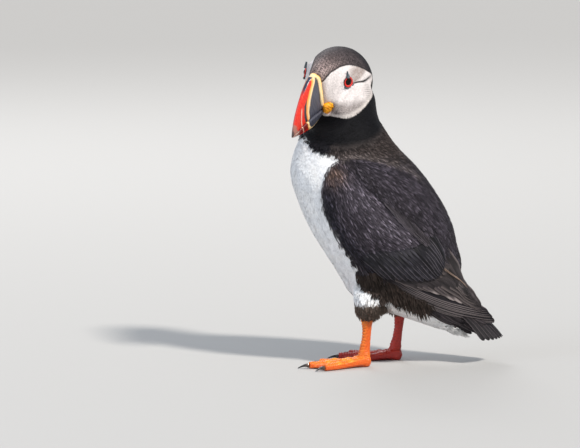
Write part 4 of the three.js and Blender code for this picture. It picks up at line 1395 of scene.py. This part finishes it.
def dome(radius, rings, sides, reach):
    """A cap of a ball that looks along +Z: points, faces, and the angle from its pole."""
    polar = np.linspace(0.02, reach, rings)
    p, a = np.meshgrid(polar, ring_angles(sides), indexing="ij")
    points = radius * np.stack([np.sin(p) * np.cos(a), np.sin(p) * np.sin(a), np.cos(p)], -1)
    return points.reshape(-1, 3), closed_rings(rings, sides), p.ravel()


def eye_piece(name, side, finish):
    """The eyeball, with the bulge of its cornea and the iris round its pupil."""
    points, faces, polar = dome(EYE_RADIUS, 40, 56, math.radians(172))
    bulge = CORNEA_BULGE * bell(np.hypot(points[:, 0], points[:, 1]), CORNEA_WIDTH) * (polar < 1)
    points = points + np.c_[np.zeros((len(points), 2)), bulge - EYE_SUNK]
    iris = smooth_step(0.36, 0.42, polar) * (1 - smooth_step(0.70, 0.78, polar))
    faces = facing_out(faces, side)
    piece = new_piece(f"eyeball_{name}", round_eye(points, side), faces, finish, numbers={"iris": iris})
    settle(piece, "eye", f"eye_{name}")


def eye_ring_piece(name, side, finish):
    """The red rim of the lids: beaded, thick below and in front, drawn up to a point under the plate."""
    steps, sides = 144, 18
    t, around = ring_angles(steps), ring_angles(sides)
    upward = np.sin(t)
    radius = 3.05 + 0.16 * np.abs(np.cos(t)) + 0.55 * bell(t - np.pi / 2, 0.45)
    line = np.c_[np.cos(t) * radius, np.sin(t) * radius, 0.12 - 0.2 * np.cos(t) ** 2 - 0.2 * upward]
    thick = 0.60 + 0.38 * smooth_step(0.5, -0.9, upward) * (0.75 + 0.25 * np.cos(t))
    thick = thick * (1 + 0.07 * np.sin(t * 27) + 0.04 * np.sin(t * 13 + 1))
    way = unit(np.roll(line, -1, 0) - np.roll(line, 1, 0))
    outward = np.tile(OUT_OF_FACE, (steps, 1))
    points = swept(line, np.cross(outward, way), thick, outward, thick * 0.6, around)
    k = np.arange(sides)
    last = (steps - 1) * sides
    join = np.c_[last + k, last + (k + 1) % sides, (k + 1) % sides, k]
    faces = facing_out([np.r_[grid_faces(steps, sides), join]], side)
    red = np.tile(FACE_SKIN["lid"], (len(points), 1)) * (1 + 0.16 * wander(points, 0.9, 61))[:, None]
    edge = smooth_step(0.55, 0.9, np.tile(np.cos(around), steps) * -side)
    colour = blend(red, FACE_SKIN["lid_edge"], edge)
    piece = new_piece(f"lid_ring_{name}", round_eye(points, side), faces, finish, colour)
    settle(piece, "eye_ring", f"eye_ring_{name}")


def plate_piece(name, node, side, shape, finish, colour):
    """A small horny plate: rings along its length, each an oval that sinks into the face."""
    centre, way, half, thick = shape
    rows, sides = len(centre), 24
    around = ring_angles(sides)
    across = np.c_[-way[:, 1], way[:, 0], np.zeros(rows)]
    points = swept(centre, across, half, np.tile(OUT_OF_FACE, (rows, 1)), thick, around)
    points[:, 2] += wander(points, 0.8, 71) * 0.06
    shade = (1 + 0.22 * wander(points, 1.1, 72))[:, None]
    rim = np.tile(smooth_step(0.55, 0.95, np.abs(np.cos(around))), rows)
    faces = facing_out(closed_rings(rows, sides), side)
    colours = blend(colour * shade, colour * 0.35, rim)
    settle(new_piece(name, round_eye(points, side), faces, finish, colours), "eye_plate", node)


def brow_plate_shape(rows=26):
    """The middle, way, half width and thickness of the pointed plate that stands above the eye."""
    t = np.linspace(0, 1, rows)
    ends = np.sqrt(np.clip(np.minimum(t / 0.12, (1 - t) / 0.10), 0.02, 1))
    half = (1.75 - 1.25 * smooth_step(0, 0.75, t)) * ends
    centre = np.c_[0.25 * t - 0.1, 3.15 + 5.0 * t, 0.35 - 0.55 * t]
    return centre, np.tile([0.05, 1.0, 0.0], (rows, 1)), half, 1.0 - 0.35 * t


def eye_bar_shape(rows=34, radius=4.45):
    """The same of the bar that curves below the eye."""
    t = np.linspace(0, 1, rows)
    angle = np.radians(-150 + 118 * t)
    centre = np.c_[np.cos(angle) * radius, np.sin(angle) * radius, np.full(rows, 0.35)]
    way = np.c_[-np.sin(angle), np.cos(angle), np.zeros(rows)]
    half = 0.95 * np.sin(np.pi * np.clip(t, 0.01, 0.99)) ** 0.55
    return centre, way, half, np.full(rows, 0.75)


def rosette_piece(name, side, finish):
    """The wrinkled orange cushion at the corner of the mouth."""
    rings, sides = 44, 90
    r, a = np.meshgrid(np.linspace(0.02, 1, rings), ring_angles(sides), indexing="ij")
    lobes = 1 + 0.07 * np.sin(3 * a + 0.6) + 0.05 * np.sin(5 * a + 2) + 0.02 * np.sin(11 * a)
    # The cushion is a dome as far as its edge, and then turns in under itself.
    edge = 0.82
    down_dome = limited(r / edge) * np.pi / 2
    reach = np.sin(down_dome) * ROSETTE_RADIUS * lobes - smooth_step(edge, 1, r) * 0.5
    height = ROSETTE_HEIGHT * np.cos(down_dome) ** 0.7 - 2.2 * smooth_step(0.78, 1, r)
    points = np.stack([reach * np.cos(a), reach * np.sin(a) * 1.02, height], -1).reshape(-1, 3)
    folds = np.sin(points[:, 0] * 2.0 + points[:, 1] * 2.6 + 1.5 * wander(points, 3, 81))
    bumps = wander(points, 1.3, 82)
    points[:, 2] += (0.20 * folds + 0.13 * bumps) * (1 - smooth_step(0.8, 1, r.ravel()))
    share = limited(0.35 - 0.3 * folds + 0.22 * wander(points, 2.4, 83) - points[:, 1] * 0.07)
    colour = blend(FACE_SKIN["rosette_yellow"], FACE_SKIN["rosette_orange"], share)
    # Painted shade in the valleys of the folds on the lower half of the cushion.
    crease = smooth_step(0.80, 0.98, -folds * 0.7 - bumps * 0.25) * smooth_step(1.5, -2.5, points[:, 1])
    colour = blend(colour, FACE_SKIN["rosette_crease"], crease * 0.8)
    places = on_face(points, face_frame(ROSETTE_CENTRE, ROSETTE_YAW, ROSETTE_TILT, side))
    faces = facing_out(closed_rings(rings, sides), side)
    piece = new_piece(f"gape_rosette_{name}", places, faces, finish, colour)
    settle(piece, "rosette", f"rosette_{name}")


def build_face():
    wet = eye_finish()
    lid = painted_finish("lid_skin", 0.42, 2500, 0.08, 0.15, Coat_Weight=0.2, Coat_Roughness=0.3)
    plate = painted_finish("plate_horn", 0.45, 1600, 0.1)
    cushion = painted_finish("rosette_skin", 0.5, 1300, 0.12, 0.15, Subsurface_Weight=0.12)
    brow, bar = brow_plate_shape(), eye_bar_shape()
    for name, side in SIDES.items():
        eye_piece(name, side, wet)
        eye_ring_piece(name, side, lid)
        plate_piece(f"horn_above_eye_{name}", f"brow_plate_{name}", side, brow, plate, FACE_SKIN["plate"])
        plate_piece(f"horn_below_eye_{name}", f"eye_bar_{name}", side, bar, plate, FACE_SKIN["plate"] * 0.75)
        rosette_piece(name, side, cushion)


# ---- Legs ----

LEG_VOXEL, LEG_PUFF, LEG_EASING, LEG_RELIEF = 0.4, 0.25, 9, 1.5
CLAW_VOXEL, CLAW_PUFF, CLAW_EASING = 0.22, 0.12, 10
TOE_ROOTS = {"left": np.array([24.056, 18.0]), "right": np.array([-1.444, -18.0])}
# The way each foot points, and for each toe its spread from there and its length.
HEADINGS = {"left": 12, "right": -10}
TOES = {"inner": (-27, 31), "middle": (-2, 39), "outer": (24, 36)}
# How far apart the rows of scutes stand on the toes and the shank.
TOE_SCUTES, SHANK_SCUTES = 1.75, 2.1
ANKLE_HEIGHT, FOOT_JOINT_HEIGHT = 35, 7.5

LEGS = palette(
    left=(0.66, 0.095, 0.005),
    left_pale=(0.86, 0.29, 0.018),
    # The right leg, the far one, has its orange darkened and reddened as painted shade.
    right=(0.34, 0.014, 0.009),
    right_pale=(0.50, 0.038, 0.012),
    web_shade=(0.72, 0.55, 0.5),
    claw_base=(0.075, 0.045, 0.032),
    claw=(0.010, 0.009, 0.009),
)


def toe_axes(side_name):
    """For each toe of a foot: its root, its way over the floor and its length."""
    for spread, length in TOES.values():
        angle = math.radians(HEADINGS[side_name] + SIDES[side_name] * spread)
        yield TOE_ROOTS[side_name], np.array([math.cos(angle), math.sin(angle)]), length


def leg_relief(points, normals, side_name):
    """Scutes over the toes and the front of the shank, wrinkles round the joints and small scales over
    the rest: their height, how pale they are, and the painted shade in their grooves."""
    relief = np.zeros(len(points))
    pale = np.zeros(len(points))
    nearest = np.full(len(points), np.inf)
    for root, way, length in toe_axes(side_name):
        flat = points[:, :2] - root
        along = flat @ way
        off = np.abs(flat @ np.array([-way[1], way[0]]))
        on_toe = (along > -1) & (along < length + 2) & (off < 3.6)
        share = np.where(on_toe, smooth_step(3.4, 2.4, off), 0) * smooth_step(0.1, 0.5, normals[:, 2])
        closer = off < nearest
        nearest = np.where(on_toe & closer, off, nearest)
        rows = np.sin(along * 2 * np.pi / TOE_SCUTES + 0.5 * np.sin(off))
        relief += np.where(closer, share * (0.16 * np.clip(rows + 0.6, -0.6, 1)), 0)
        joint = bell(along - 0.36 * length, 2.0) + bell(along - 0.66 * length, 1.8)
        pale = np.maximum(pale, share * (0.35 + 0.6 * joint))
        relief += np.where(closer, share * joint * 0.28, 0)
    height = points[:, 2]
    shank_front = smooth_step(8, 12, height) * smooth_step(-0.2, 0.5, normals[:, 0])
    rings = np.sin(height * 2 * np.pi / SHANK_SCUTES + 0.4 * wander(points, 4, 91))
    scales = wander(points, 1.15, 92)
    relief += shank_front * 0.15 * np.clip(rings + 0.5, -0.6, 1) + 0.055 * scales
    joints = bell(height - ANKLE_HEIGHT, 4.5) + 0.8 * bell(height - FOOT_JOINT_HEIGHT, 3.0)
    wrinkles = np.sin(height * 5.2 + points[:, 1] * 1.6 + 1.2 * wander(points, 3, 93))
    relief += joints * (0.25 * wrinkles + 0.35)
    pale = np.maximum(pale, shank_front * 0.3 + 0.75 * joints * (0.5 + 0.5 * wrinkles))
    # The last is painted shade, deeper where the relief sinks.
    return relief, limited(pale + 0.15 * scales), np.clip(-relief * 5.0, 0, 0.75)


def leg_piece(side_name, finish):
    """A lower leg and its foot in one skin, flat on the floor."""
    nodes = (f"tarsus_{side_name}", f"foot_{side_name}")
    points, groups = fused([node_shape(node) for node in nodes], LEG_VOXEL, LEG_PUFF)
    points = eased(points, edge_pairs(groups), LEG_EASING)
    normals = point_normals(points, as_triangles(groups))
    relief, pale, dark = leg_relief(points, normals, side_name)
    points = points + normals * (relief * LEG_RELIEF)[:, None]
    points[:, 2] -= points[:, 2].min()
    height = points[:, 2]
    deep = LEGS[side_name]
    colour = blend(deep, LEGS[f"{side_name}_pale"], pale)
    web = smooth_step(4.2, 2.2, height) * smooth_step(0.6, 0.9, np.abs(normals[:, 2])) * (1 - pale)
    colour = blend(colour, deep * LEGS["web_shade"], web * 0.6)
    # Painted shade in the sunken grooves.
    colour = blend(colour, deep * 0.22, dark)
    # Painted shadow: darker within a millimetre of the floor, where the foot meets it.
    colour = blend(colour, deep * 0.35, smooth_step(0.8, 0.1, height) * 0.6)
    settle(new_piece(f"leg_and_foot_{side_name}", points, groups, finish, colour), "leg_skin", *nodes)


def claw_piece(side_name, claw, finish):
    """A claw, brown at its base and black from there on, with fine streaks along it."""
    name = f"claw_{side_name}_{claw}"
    points, groups = fused([node_shape(name)], CLAW_VOXEL, CLAW_PUFF)
    points = eased(points, edge_pairs(groups), CLAW_EASING)
    reach = points[:, 0] - points[:, 0].min()
    base = blend(LEGS["claw_base"], LEGS["claw"], smooth_step(0.05, 0.5, reach / reach.max()))
    colour = base * (1 + 0.2 * wander(points * np.array([0.3, 1, 1]), 0.8, 95))[:, None]
    settle(new_piece(f"{name}_horn", points, groups, finish, colour), "claw", name)


def build_legs():
    skin_finish = painted_finish("leg_scales", 0.42, 1500, 0.18, 0.12, Subsurface_Weight=0.06)
    horn = painted_finish("claw_horn", 0.28, 900, 0.05, 0.15, Coat_Weight=0.4)
    for side_name in SIDES:
        leg_piece(side_name, skin_finish)
        for claw in CLAWS:
            claw_piece(side_name, claw, horn)


# ---- Long feathers ----

VANE_ACROSS = np.array([-1, -0.92, -0.72, -0.4, -0.07, 0.0, 0.07, 0.4, 0.72, 0.92, 1])
VANE_ROWS = 16
SHAFT_HEIGHT = 0.22
BARB_SPACING, BARB_SLANT = 0.85, 1.3


def vane_finish():
    """A flight feather: barbs slant from the shaft over its markings."""
    finish = Finish("vanes", Specular_IOR_Level=0.16)
    barbs = finish.number("barb").maths("SINE") * 0.5 + 0.5
    grain = finish.noise(420, 3)
    lay_colours(finish, barbs * 0.22 + grain * 0.35 + 0.68, grain, 0.5)
    finish.bump(barbs * 0.7 + grain * 0.5, 0.12 * MM)
    return finish


def two_faces(across):
    """Numbers over the top of a feather, and again below it on the way back."""
    return np.r_[across, across[-2:0:-1]]


class Vanes:
    """Long feathers gathered for one piece."""

    def __init__(self, seed):
        self.draw = np.random.default_rng(seed)
        self.points, self.faces, self.colours, self.barbs, self.places = [], [], [], [], []
        self.count = 0

    def add(self, path, normals, half_width, *, tone, edge_tone, tip_tone=None, tip_from=0.86, point=6,
            thickness=0.3, camber=0.07, lean=0.0, lead=1.0, fray=0.05, edge_width=0.16, streaks=0.3,
            mottle=0.0):
        """One feather along a path, tip last. The tones are colours, a higher point makes a blunter tip,
        lead narrows the leading side and lean lifts it."""
        s = row_shares(len(path))
        around = self.outline(path, normals, half_width, s, point, thickness, camber, lean, lead, fray)
        rows, sides = around.shape[:2]
        c = two_faces(VANE_ACROSS)
        along = np.broadcast_to(s[:, None], (rows, sides))
        edge = smooth_step(1 - edge_width * 1.6, 1 - edge_width * 0.3, np.abs(c))
        jitter = 1 + (0.16 + 1.2 * mottle) * (self.draw.random() - 0.5)
        colour = np.tile(np.asarray(tone) * jitter, (rows, sides, 1))
        streak = two_faces(self.draw.normal(0, streaks, len(VANE_ACROSS)))
        streak = streak + self.draw.normal(0, streaks * 0.6, (rows, sides))
        blots = wander(around.reshape(-1, 3), 3.5, int(self.draw.integers(1000))).reshape(rows, sides)
        colour = colour * np.clip(1 + streak + mottle * blots, 0.4, 3.0)[..., None]
        colour = colour * (0.62 + 0.38 * smooth_step(0, 0.35, along))[..., None]
        colour = blend(colour, edge_tone, edge * smooth_step(0.08, 0.4, along))
        if tip_tone is not None:
            colour = blend(colour, tip_tone, smooth_step(tip_from, tip_from + 0.1, along))
        colour = blend(colour, np.asarray(tone) * 0.35, np.broadcast_to(bell(c, 0.08) * 0.7, along.shape))
        length = np.linalg.norm(np.diff(path, axis=0), axis=1).sum()
        barb = (along * length - np.abs(c) * half_width * BARB_SLANT) * 2 * np.pi / BARB_SPACING
        self.points.append(around.reshape(-1, 3))
        self.faces.append([group + self.count for group in closed_rings(rows, sides)])
        self.colours.append(colour.reshape(-1, 3))
        self.barbs.append(barb.ravel())
        self.places.append(np.stack([np.broadcast_to(c, along.shape), along], -1).reshape(-1, 2))
        self.count += rows * sides

    def outline(self, path, normals, half_width, s, point, thickness, camber, lean, lead, fray):
        """The rings of points round a feather: over its top from edge to edge and back below."""
        way = unit(np.gradient(path, s, axis=0))
        across = unit(np.cross(normals, way))[:, None]
        c = VANE_ACROSS[None]
        width = half_width * np.clip(s / 0.12, 0.3, 1) ** 0.5 * np.clip(1 - s**point, 0.0004, 1) ** 0.5
        ragged = 1 - fray * self.draw.random((len(path), 2)) * smooth_step(0.2, 0.5, s)[:, None]
        sideways = np.where(c < 0, lead, 1.0) * c * width[:, None]
        sideways = sideways * np.where(c < 0, ragged[:, :1], ragged[:, 1:])
        sag = -half_width * (camber * c**2 + lean * c) * smooth_step(0, 0.3, s)[:, None]
        shaft = SHAFT_HEIGHT * bell(c, 0.06) * (1 - 0.6 * s[:, None])
        body = thickness * (1 - 0.75 * c**2)
        flat = path[:, None] + across * sideways[..., None]
        top = flat + normals[:, None] * (sag + shaft + body / 2)[..., None]
        low = flat + normals[:, None] * (sag - body / 2)[..., None]
        return np.concatenate([top, low[:, -2:0:-1]], 1)

    def piece(self, name, finish, *replaced):
        """All the feathers as one piece. On its map each has a cell of a square grid."""
        faces = turned_over([np.concatenate(groups) for groups in zip(*self.faces)])
        columns = math.ceil(math.sqrt(len(self.places)))
        places = [
            (np.array([k % columns, k // columns]) + 0.5 + part * [0.42, 0.9] - [0, 0.45]) / columns
            for k, part in enumerate(self.places)
        ]
        points, colours, barbs = (np.concatenate(part) for part in (self.points, self.colours, self.barbs))
        made = new_piece(name, points, faces, finish, colours, {"barb": barbs})
        add_map(made, np.concatenate(places))
        settle(made, "dark_plumage", *replaced)


class Flank:
    """One side of the bird as heights over the side view, to lay feathers on."""

    STEP, STEEPEST, BLURS = 2.0, 0.7, 7
    X_FROM, X_TO, Z_FROM, Z_TO = -92, 76, 8, 176

    def __init__(self, side_name, nodes):
        self.side = SIDES[side_name]
        trees = []
        for node in nodes:
            points, triangles = node_shape(node)
            trees.append(BVHTree.FromPolygons(points.tolist(), triangles.tolist()))
        self.xs = np.arange(self.X_FROM, self.X_TO, self.STEP)
        self.zs = np.arange(self.Z_FROM, self.Z_TO, self.STEP)
        heights = np.zeros((len(self.xs), len(self.zs)))
        for i, x in enumerate(self.xs):
            for j, z in enumerate(self.zs):
                start = Vector((x, self.side * 90, z))
                hits = [tree.ray_cast(start, Vector((0, -self.side, 0)))[0] for tree in trees]
                heights[i, j] = max((self.side * hit.y for hit in hits if hit is not None), default=0)
        covered = (heights > 0).astype(float)
        for _ in range(self.BLURS):
            heights, covered = self.blurred(heights, covered)
        self.heights = heights

    @staticmethod
    def blurred(heights, covered):
        """Heights eased by their neighbours, which also fill the places that have none."""

        def spread(grid):
            for axis in (0, 1):
                grid = (np.roll(grid, 1, axis) + 2 * grid + np.roll(grid, -1, axis)) / 4
            return grid

        weight = spread(covered)
        filled = spread(heights * covered) / np.maximum(weight, 1e-6)
        return np.where(weight > 0, filled, 0), (weight > 1e-6).astype(float)

    def read(self, x, z):
        u = np.clip((x - self.X_FROM) / self.STEP, 0, len(self.xs) - 1.001)
        v = np.clip((z - self.Z_FROM) / self.STEP, 0, len(self.zs) - 1.001)
        i, j = u.astype(int), v.astype(int)
        fu, fv = u - i, v - j
        h = self.heights
        return mixed(mixed(h[i, j], h[i + 1, j], fu), mixed(h[i, j + 1], h[i + 1, j + 1], fu), fv)

    def lay(self, place, lift):
        """Places on this side of the bird for places in side view, and the normals there."""
        x, z = place.T
        step = 3.0
        slope_x = (self.read(x + step, z) - self.read(x - step, z)) / (2 * step)
        slope_z = (self.read(x, z + step) - self.read(x, z - step)) / (2 * step)
        slope_x, slope_z = (np.clip(slope, -self.STEEPEST, self.STEEPEST) for slope in (slope_x, slope_z))
        normal = unit(np.c_[-slope_x, np.full(len(x), self.side), -slope_z])
        points = np.c_[x, self.side * self.read(x, z), z]
        return points + normal * lift[:, None], normal


def row_shares(count=VANE_ROWS):
    """Shares along a feather, closest together at its tip."""
    return 1 - (1 - np.linspace(0, 1, count)) ** 1.9


def bent(start, middle, end):
    """A curved path in side view."""
    t = row_shares()[:, None]
    return (1 - t) ** 2 * start + 2 * t * (1 - t) * middle + t**2 * end


def between(points, share):
    """A place on a run of points, by share of the run."""
    curve = spline(points, 200)
    return curve[round(share * (len(curve) - 1))]


# Runs in side view that the long feathers follow: where their roots and tips stand, and the bow between.
PRIMARY_ROOTS = [(20, 64), (18, 66), (14, 68), (8, 69.5)]
PRIMARY_TIPS = [(-69.5, 29.4), (-68.8, 31), (-66.8, 34), (-63.5, 37.5)]
PRIMARY_BOW = [(-28, 35.5), (-24, 40), (-20, 46), (-16, 52)]
SECONDARY_ROOTS = [(16, 70), (4, 73), (-8, 75), (-18, 78)]
SECONDARY_TIPS = [(-16, 56.5), (-26, 54), (-32, 51.2), (-39.5, 47.6), (-46, 44), (-53, 41), (-59, 38)]
PALE_TIPPED = (2, 4, 5)
TERTIAL_ROOTS = [(-8, 77), (-14, 80), (-20, 83), (-26, 86)]
TERTIAL_TIPS = [(-59, 40.5), (-55, 44.5), (-50.5, 49), (-45.5, 54.5)]
# The worn brown edge of one tertial.
WORN_ROOTS, WORN_TIPS = [(-18, 78.5), (-18.5, 79.5)], [(-48, 54), (-49, 53)]
COVERT_TIPS = [(10, 64.3), (0, 63.3), (-12, 62.6), (-21, 63), (-27, 65.5), (-29, 70), (-30, 76)]
COVERT_ROOTS = [(30, 81), (21, 83), (11, 84), (1, 85), (-9, 87), (-15, 91), (-19, 96)]
SCAPULAR_TIPS = [(-3, 101), (-9, 95), (-15, 89), (-21, 83.5), (-27, 78), (-33, 72.5), (-39, 67)]
SCAPULAR_ROOTS = [(8, 117), (2, 112), (-4, 106.5), (-10, 101), (-16, 95), (-21, 89), (-26, 83)]
SCAPULAR_ROWS, SCAPULAR_STEP = 3, (4.5, 5.5)
# The feathers that cover the root of the tail, by row: roots, tips and how many.
TAIL_COVERTS = [
    ([(-26, 39), (-32, 43), (-38, 47)], [(-52, 21.5), (-58, 24), (-63, 28)], 7),
    ([(-18, 42), (-24, 46), (-32, 50)], [(-40, 28.5), (-47, 29.5), (-54, 34)], 7),
]

VANE = palette(
    tail_covert=(0.022, 0.018, 0.021),
    tail_covert_edge=(0.11, 0.092, 0.096),
    primary=(0.014, 0.012, 0.015),
    primary_edge=(0.24, 0.205, 0.205),
    secondary=(0.034, 0.028, 0.030),
    secondary_edge=(0.20, 0.165, 0.16),
    pale_tip=(0.30, 0.255, 0.25),
    tertial=(0.030, 0.025, 0.026),
    tertial_edge=(0.20, 0.165, 0.16),
    covert=(0.014, 0.013, 0.017),
    covert_edge=(0.15, 0.135, 0.155),
    scapular=(0.026, 0.022, 0.026),
    scapular_edge=(0.125, 0.108, 0.122),
    worn=(0.23, 0.165, 0.13),
    worn_edge=(0.23, 0.165, 0.13),
    tail=(0.012, 0.010, 0.012),
    tail_edge=(0.075, 0.062, 0.066),
)
# The free edge of a feather is lifted over the one before, and its root sunk into the coat.
ROW_LEAN, ROOT_DEPTH = 0.11, 3.0


def row_of(vanes, flank, kind, count, roots, tips, half_width, lift, *, bow=0.0, bows=None, tipped=(),
           **look):
    """A row of long feathers from one run of roots to one run of tips, the last lying on top. lift is the
    height of the first and of the last, and a bow bends them all alike, where no run of bows is given."""
    draw = vanes.draw
    for k in range(count):
        share = k / max(count - 1, 1)
        start, end = between(roots, share), between(tips, share)
        way = end - start
        middle = (start + end) / 2 + np.array([way[1], -way[0]]) * bow
        if bows:
            middle = between(bows, share)
        path = bent(start, middle, end + draw.normal(0, 0.3, 2))
        s = row_shares()
        level = lift[0] + (lift[1] - lift[0]) * share
        places, normals = flank.lay(path, level - ROOT_DEPTH * (1 - s) ** 3 + 0.3 * s)
        vanes.add(
            places, normals, half_width * draw.uniform(0.92, 1.08), tone=VANE[kind],
            edge_tone=VANE[f"{kind}_edge"], tip_tone=VANE["pale_tip"] if k in tipped else None,
            lean=ROW_LEAN * flank.side, **look,
        )


def wing_feathers(side_name, finish):
    """The rows of one side, each over the last: primaries, secondaries, tertials, coverts and scapulars."""
    flank = Flank(side_name, (f"wing_{side_name}", f"primaries_{side_name}", "trunk", "neck"))
    side = SIDES[side_name]
    vanes = Vanes(200 + side)
    row_of(vanes, flank, "primary", 10, PRIMARY_ROOTS, PRIMARY_TIPS, 4.2, (-0.8, 0.5), bows=PRIMARY_BOW,
           edge_width=0.2, lead=0.6)
    vanes.piece(f"primary_feathers_{side_name}", finish, f"primaries_{side_name}")
    vanes = Vanes(210 + side)
    row_of(vanes, flank, "secondary", 9, SECONDARY_ROOTS, SECONDARY_TIPS, 4.2, (0.2, 0.9), bow=0.07,
           tipped=PALE_TIPPED, tip_from=0.8, edge_width=0.08, streaks=0.35)
    row_of(vanes, flank, "tertial", 5, TERTIAL_ROOTS, TERTIAL_TIPS, 6.6, (0.9, 1.4), bow=0.04,
           point=4.5, edge_width=0.08, streaks=0.45, mottle=0.35)
    row_of(vanes, flank, "covert", 19, COVERT_ROOTS, COVERT_TIPS, 2.6, (1.4, 2.0), bow=0.10,
           point=5, edge_width=0.1, streaks=0.6, mottle=0.5, fray=0.15)
    row_of(vanes, flank, "worn", 1, WORN_ROOTS, WORN_TIPS, 0.65, (1.9, 1.9), bow=0.06,
           point=5, mottle=0.3)
    vanes.piece(f"secondary_feathers_{side_name}", finish)
    vanes = Vanes(220 + side)
    for row in range(SCAPULAR_ROWS):
        shift = np.array(SCAPULAR_STEP) * row
        roots, tips = SCAPULAR_ROOTS + shift, SCAPULAR_TIPS + shift
        row_of(vanes, flank, "scapular", 12 - row, roots, tips, 2.5, (-0.2, 0.3 + 0.2 * row), bow=-0.05,
               point=4, edge_width=0.12, streaks=0.8, fray=0.2)
    vanes.piece(f"scapular_feathers_{side_name}", finish)


def tail_coverts(side_name, finish):
    """Two rows of broad feathers over the root of the tail on one side."""
    flank = Flank(side_name, ("trunk", "tail"))
    vanes = Vanes(240 + SIDES[side_name])
    for row, (roots, tips, count) in enumerate(TAIL_COVERTS):
        lift = (0.1 + 0.4 * row, 0.8 + 0.4 * row)
        row_of(vanes, flank, "tail_covert", count, roots, tips, 2.8, lift, bow=-0.04,
               point=4, edge_width=0.1, streaks=0.5, mottle=0.4)
    vanes.piece(f"tail_coverts_{side_name}", finish)


TAIL_ROOT, TAIL_TIP = np.array([-40.4, 45.0]), np.array([-75.9, 17.5])
TAIL_BOW, TAIL_HALF_WIDTHS, TAIL_DROPS = 3, (10, 18.5), (2, 9.5)
TAIL_ROUNDING, TAIL_CURL = 12, 1.6
TAIL_FEATHERS = 14


def tail_place(t, a, above):
    """Places on the fan of the tail, by the shares along it, how far across (-1 to 1) and how far above."""
    along = unit(TAIL_TIP - TAIL_ROOT)
    down = np.array([-along[1], along[0]])
    half, drop = (first + (last - first) * np.sqrt(t) for first, last in (TAIL_HALF_WIDTHS, TAIL_DROPS))
    short = TAIL_ROUNDING * t * a**2
    sunk = drop * np.abs(a) ** TAIL_CURL - 4 * TAIL_BOW * t * (1 - t) - above
    flat = TAIL_ROOT + np.outer(t, TAIL_TIP - TAIL_ROOT) - np.outer(short, along) + np.outer(sunk, down)
    return np.c_[flat[:, 0], a * half, flat[:, 1]]


def tail_feathers(finish):
    """The fan of the tail, its middle feathers on top."""
    vanes = Vanes(230)
    middle = (TAIL_FEATHERS - 1) / 2
    for k in sorted(range(TAIL_FEATHERS), key=lambda k: -abs(k - middle)):
        a = (k - middle) / (middle + 0.12)
        layer = 0.9 * (1 - abs(a)) - 0.3
        reach = row_shares() * 0.985
        spot, beside = (tail_place(reach, np.full(VANE_ROWS, across), layer) for across in (a, a + 0.05))
        normal = unit(np.cross(beside - spot, unit(np.gradient(spot, axis=0))))
        normal = normal * np.sign(normal[:, 2:3])
        vanes.add(
            spot, normal, 3.7, tone=VANE["tail"], edge_tone=VANE["tail_edge"], point=14, thickness=0.4,
            edge_width=0.12, camber=0.04, lean=0.05 * np.sign(a), fray=0.0, streaks=0.35, mottle=0.3,
        )
    vanes.piece("tail_feathers", finish, "tail")


def build_flight_feathers():
    finish = vane_finish()
    for side_name in SIDES:
        wing_feathers(side_name, finish)
        tail_coverts(side_name, finish)
    tail_feathers(finish)


# ---- Stage ----

CAMERA_AIM = np.array([72.43, -15.64, 96.98])
CAMERA_AZIMUTH, CAMERA_ELEVATION = math.radians(175), math.radians(6)
CAMERA_DISTANCE, VIEW_WIDTH = 4000, 406
SENSOR_WIDTH = 36
LAMP_AIM = Vector((0, 0, 0.12))
WARM, COOL, NEUTRAL, SKY = (1.0, 0.955, 0.89), (0.74, 0.85, 1.0), (0.95, 0.97, 1.0), (0.80, 0.86, 0.95, 1)
FLOOR_REACH = 60000
FLOOR_COLOUR = (0.47, 0.46, 0.445)


def set_camera():
    away = np.array([
        math.sin(CAMERA_AZIMUTH) * math.cos(CAMERA_ELEVATION),
        -math.cos(CAMERA_AZIMUTH) * math.cos(CAMERA_ELEVATION),
        math.sin(CAMERA_ELEVATION),
    ])
    data = bpy.data.cameras.new("camera")
    data.sensor_width = SENSOR_WIDTH
    data.lens = SENSOR_WIDTH * CAMERA_DISTANCE / VIEW_WIDTH
    data.clip_end = 100
    camera = bpy.data.objects.new("camera", data)
    camera.location = Vector((CAMERA_AIM + away * CAMERA_DISTANCE) * MM)
    camera.rotation_euler = Vector(-away).to_track_quat("-Z", "Y").to_euler()
    bpy.context.scene.collection.objects.link(camera)
    bpy.context.scene.camera = camera


def add_lamp(name, kind, place, energy, colour):
    data = bpy.data.lights.new(name, kind)
    data.energy = energy
    data.color = colour
    lamp = bpy.data.objects.new(name, data)
    lamp.location = place
    lamp.rotation_euler = (LAMP_AIM - Vector(place)).to_track_quat("-Z", "Y").to_euler()
    bpy.context.scene.collection.objects.link(lamp)
    return data


def set_lights():
    add_lamp("key", "SUN", (-1.15, 1.75, 2.0), 3.7, WARM).angle = math.radians(7)
    add_lamp("fill", "AREA", (1.9, 1.2, 0.8), 14, COOL).size = 1.3
    add_lamp("rim", "AREA", (0.4, -1.9, 1.5), 16, NEUTRAL).size = 0.9
    world = bpy.data.worlds.new("studio")
    world.use_nodes = True
    background = world.node_tree.nodes["Background"]
    background.inputs["Color"].default_value = SKY
    background.inputs["Strength"].default_value = 0.62
    bpy.context.scene.world = world
    bpy.context.scene.view_settings.view_transform = "Standard"


def set_floor():
    finish = Finish("floor", Roughness=0.9)
    finish.show("Base Color", FLOOR_COLOUR)
    corners = np.array([(-1, -1, 0), (1, -1, 0), (1, 1, 0), (-1, 1, 0)]) * FLOOR_REACH
    new_piece("floor", corners, np.array([[0, 1, 2, 3]]), finish)


set_camera()
set_lights()
set_floor()
skin = Skin()
skin_piece(skin)
build_coat(skin)
build_plumes(skin)
build_bill()
build_face()
build_legs()
build_flight_feathers()
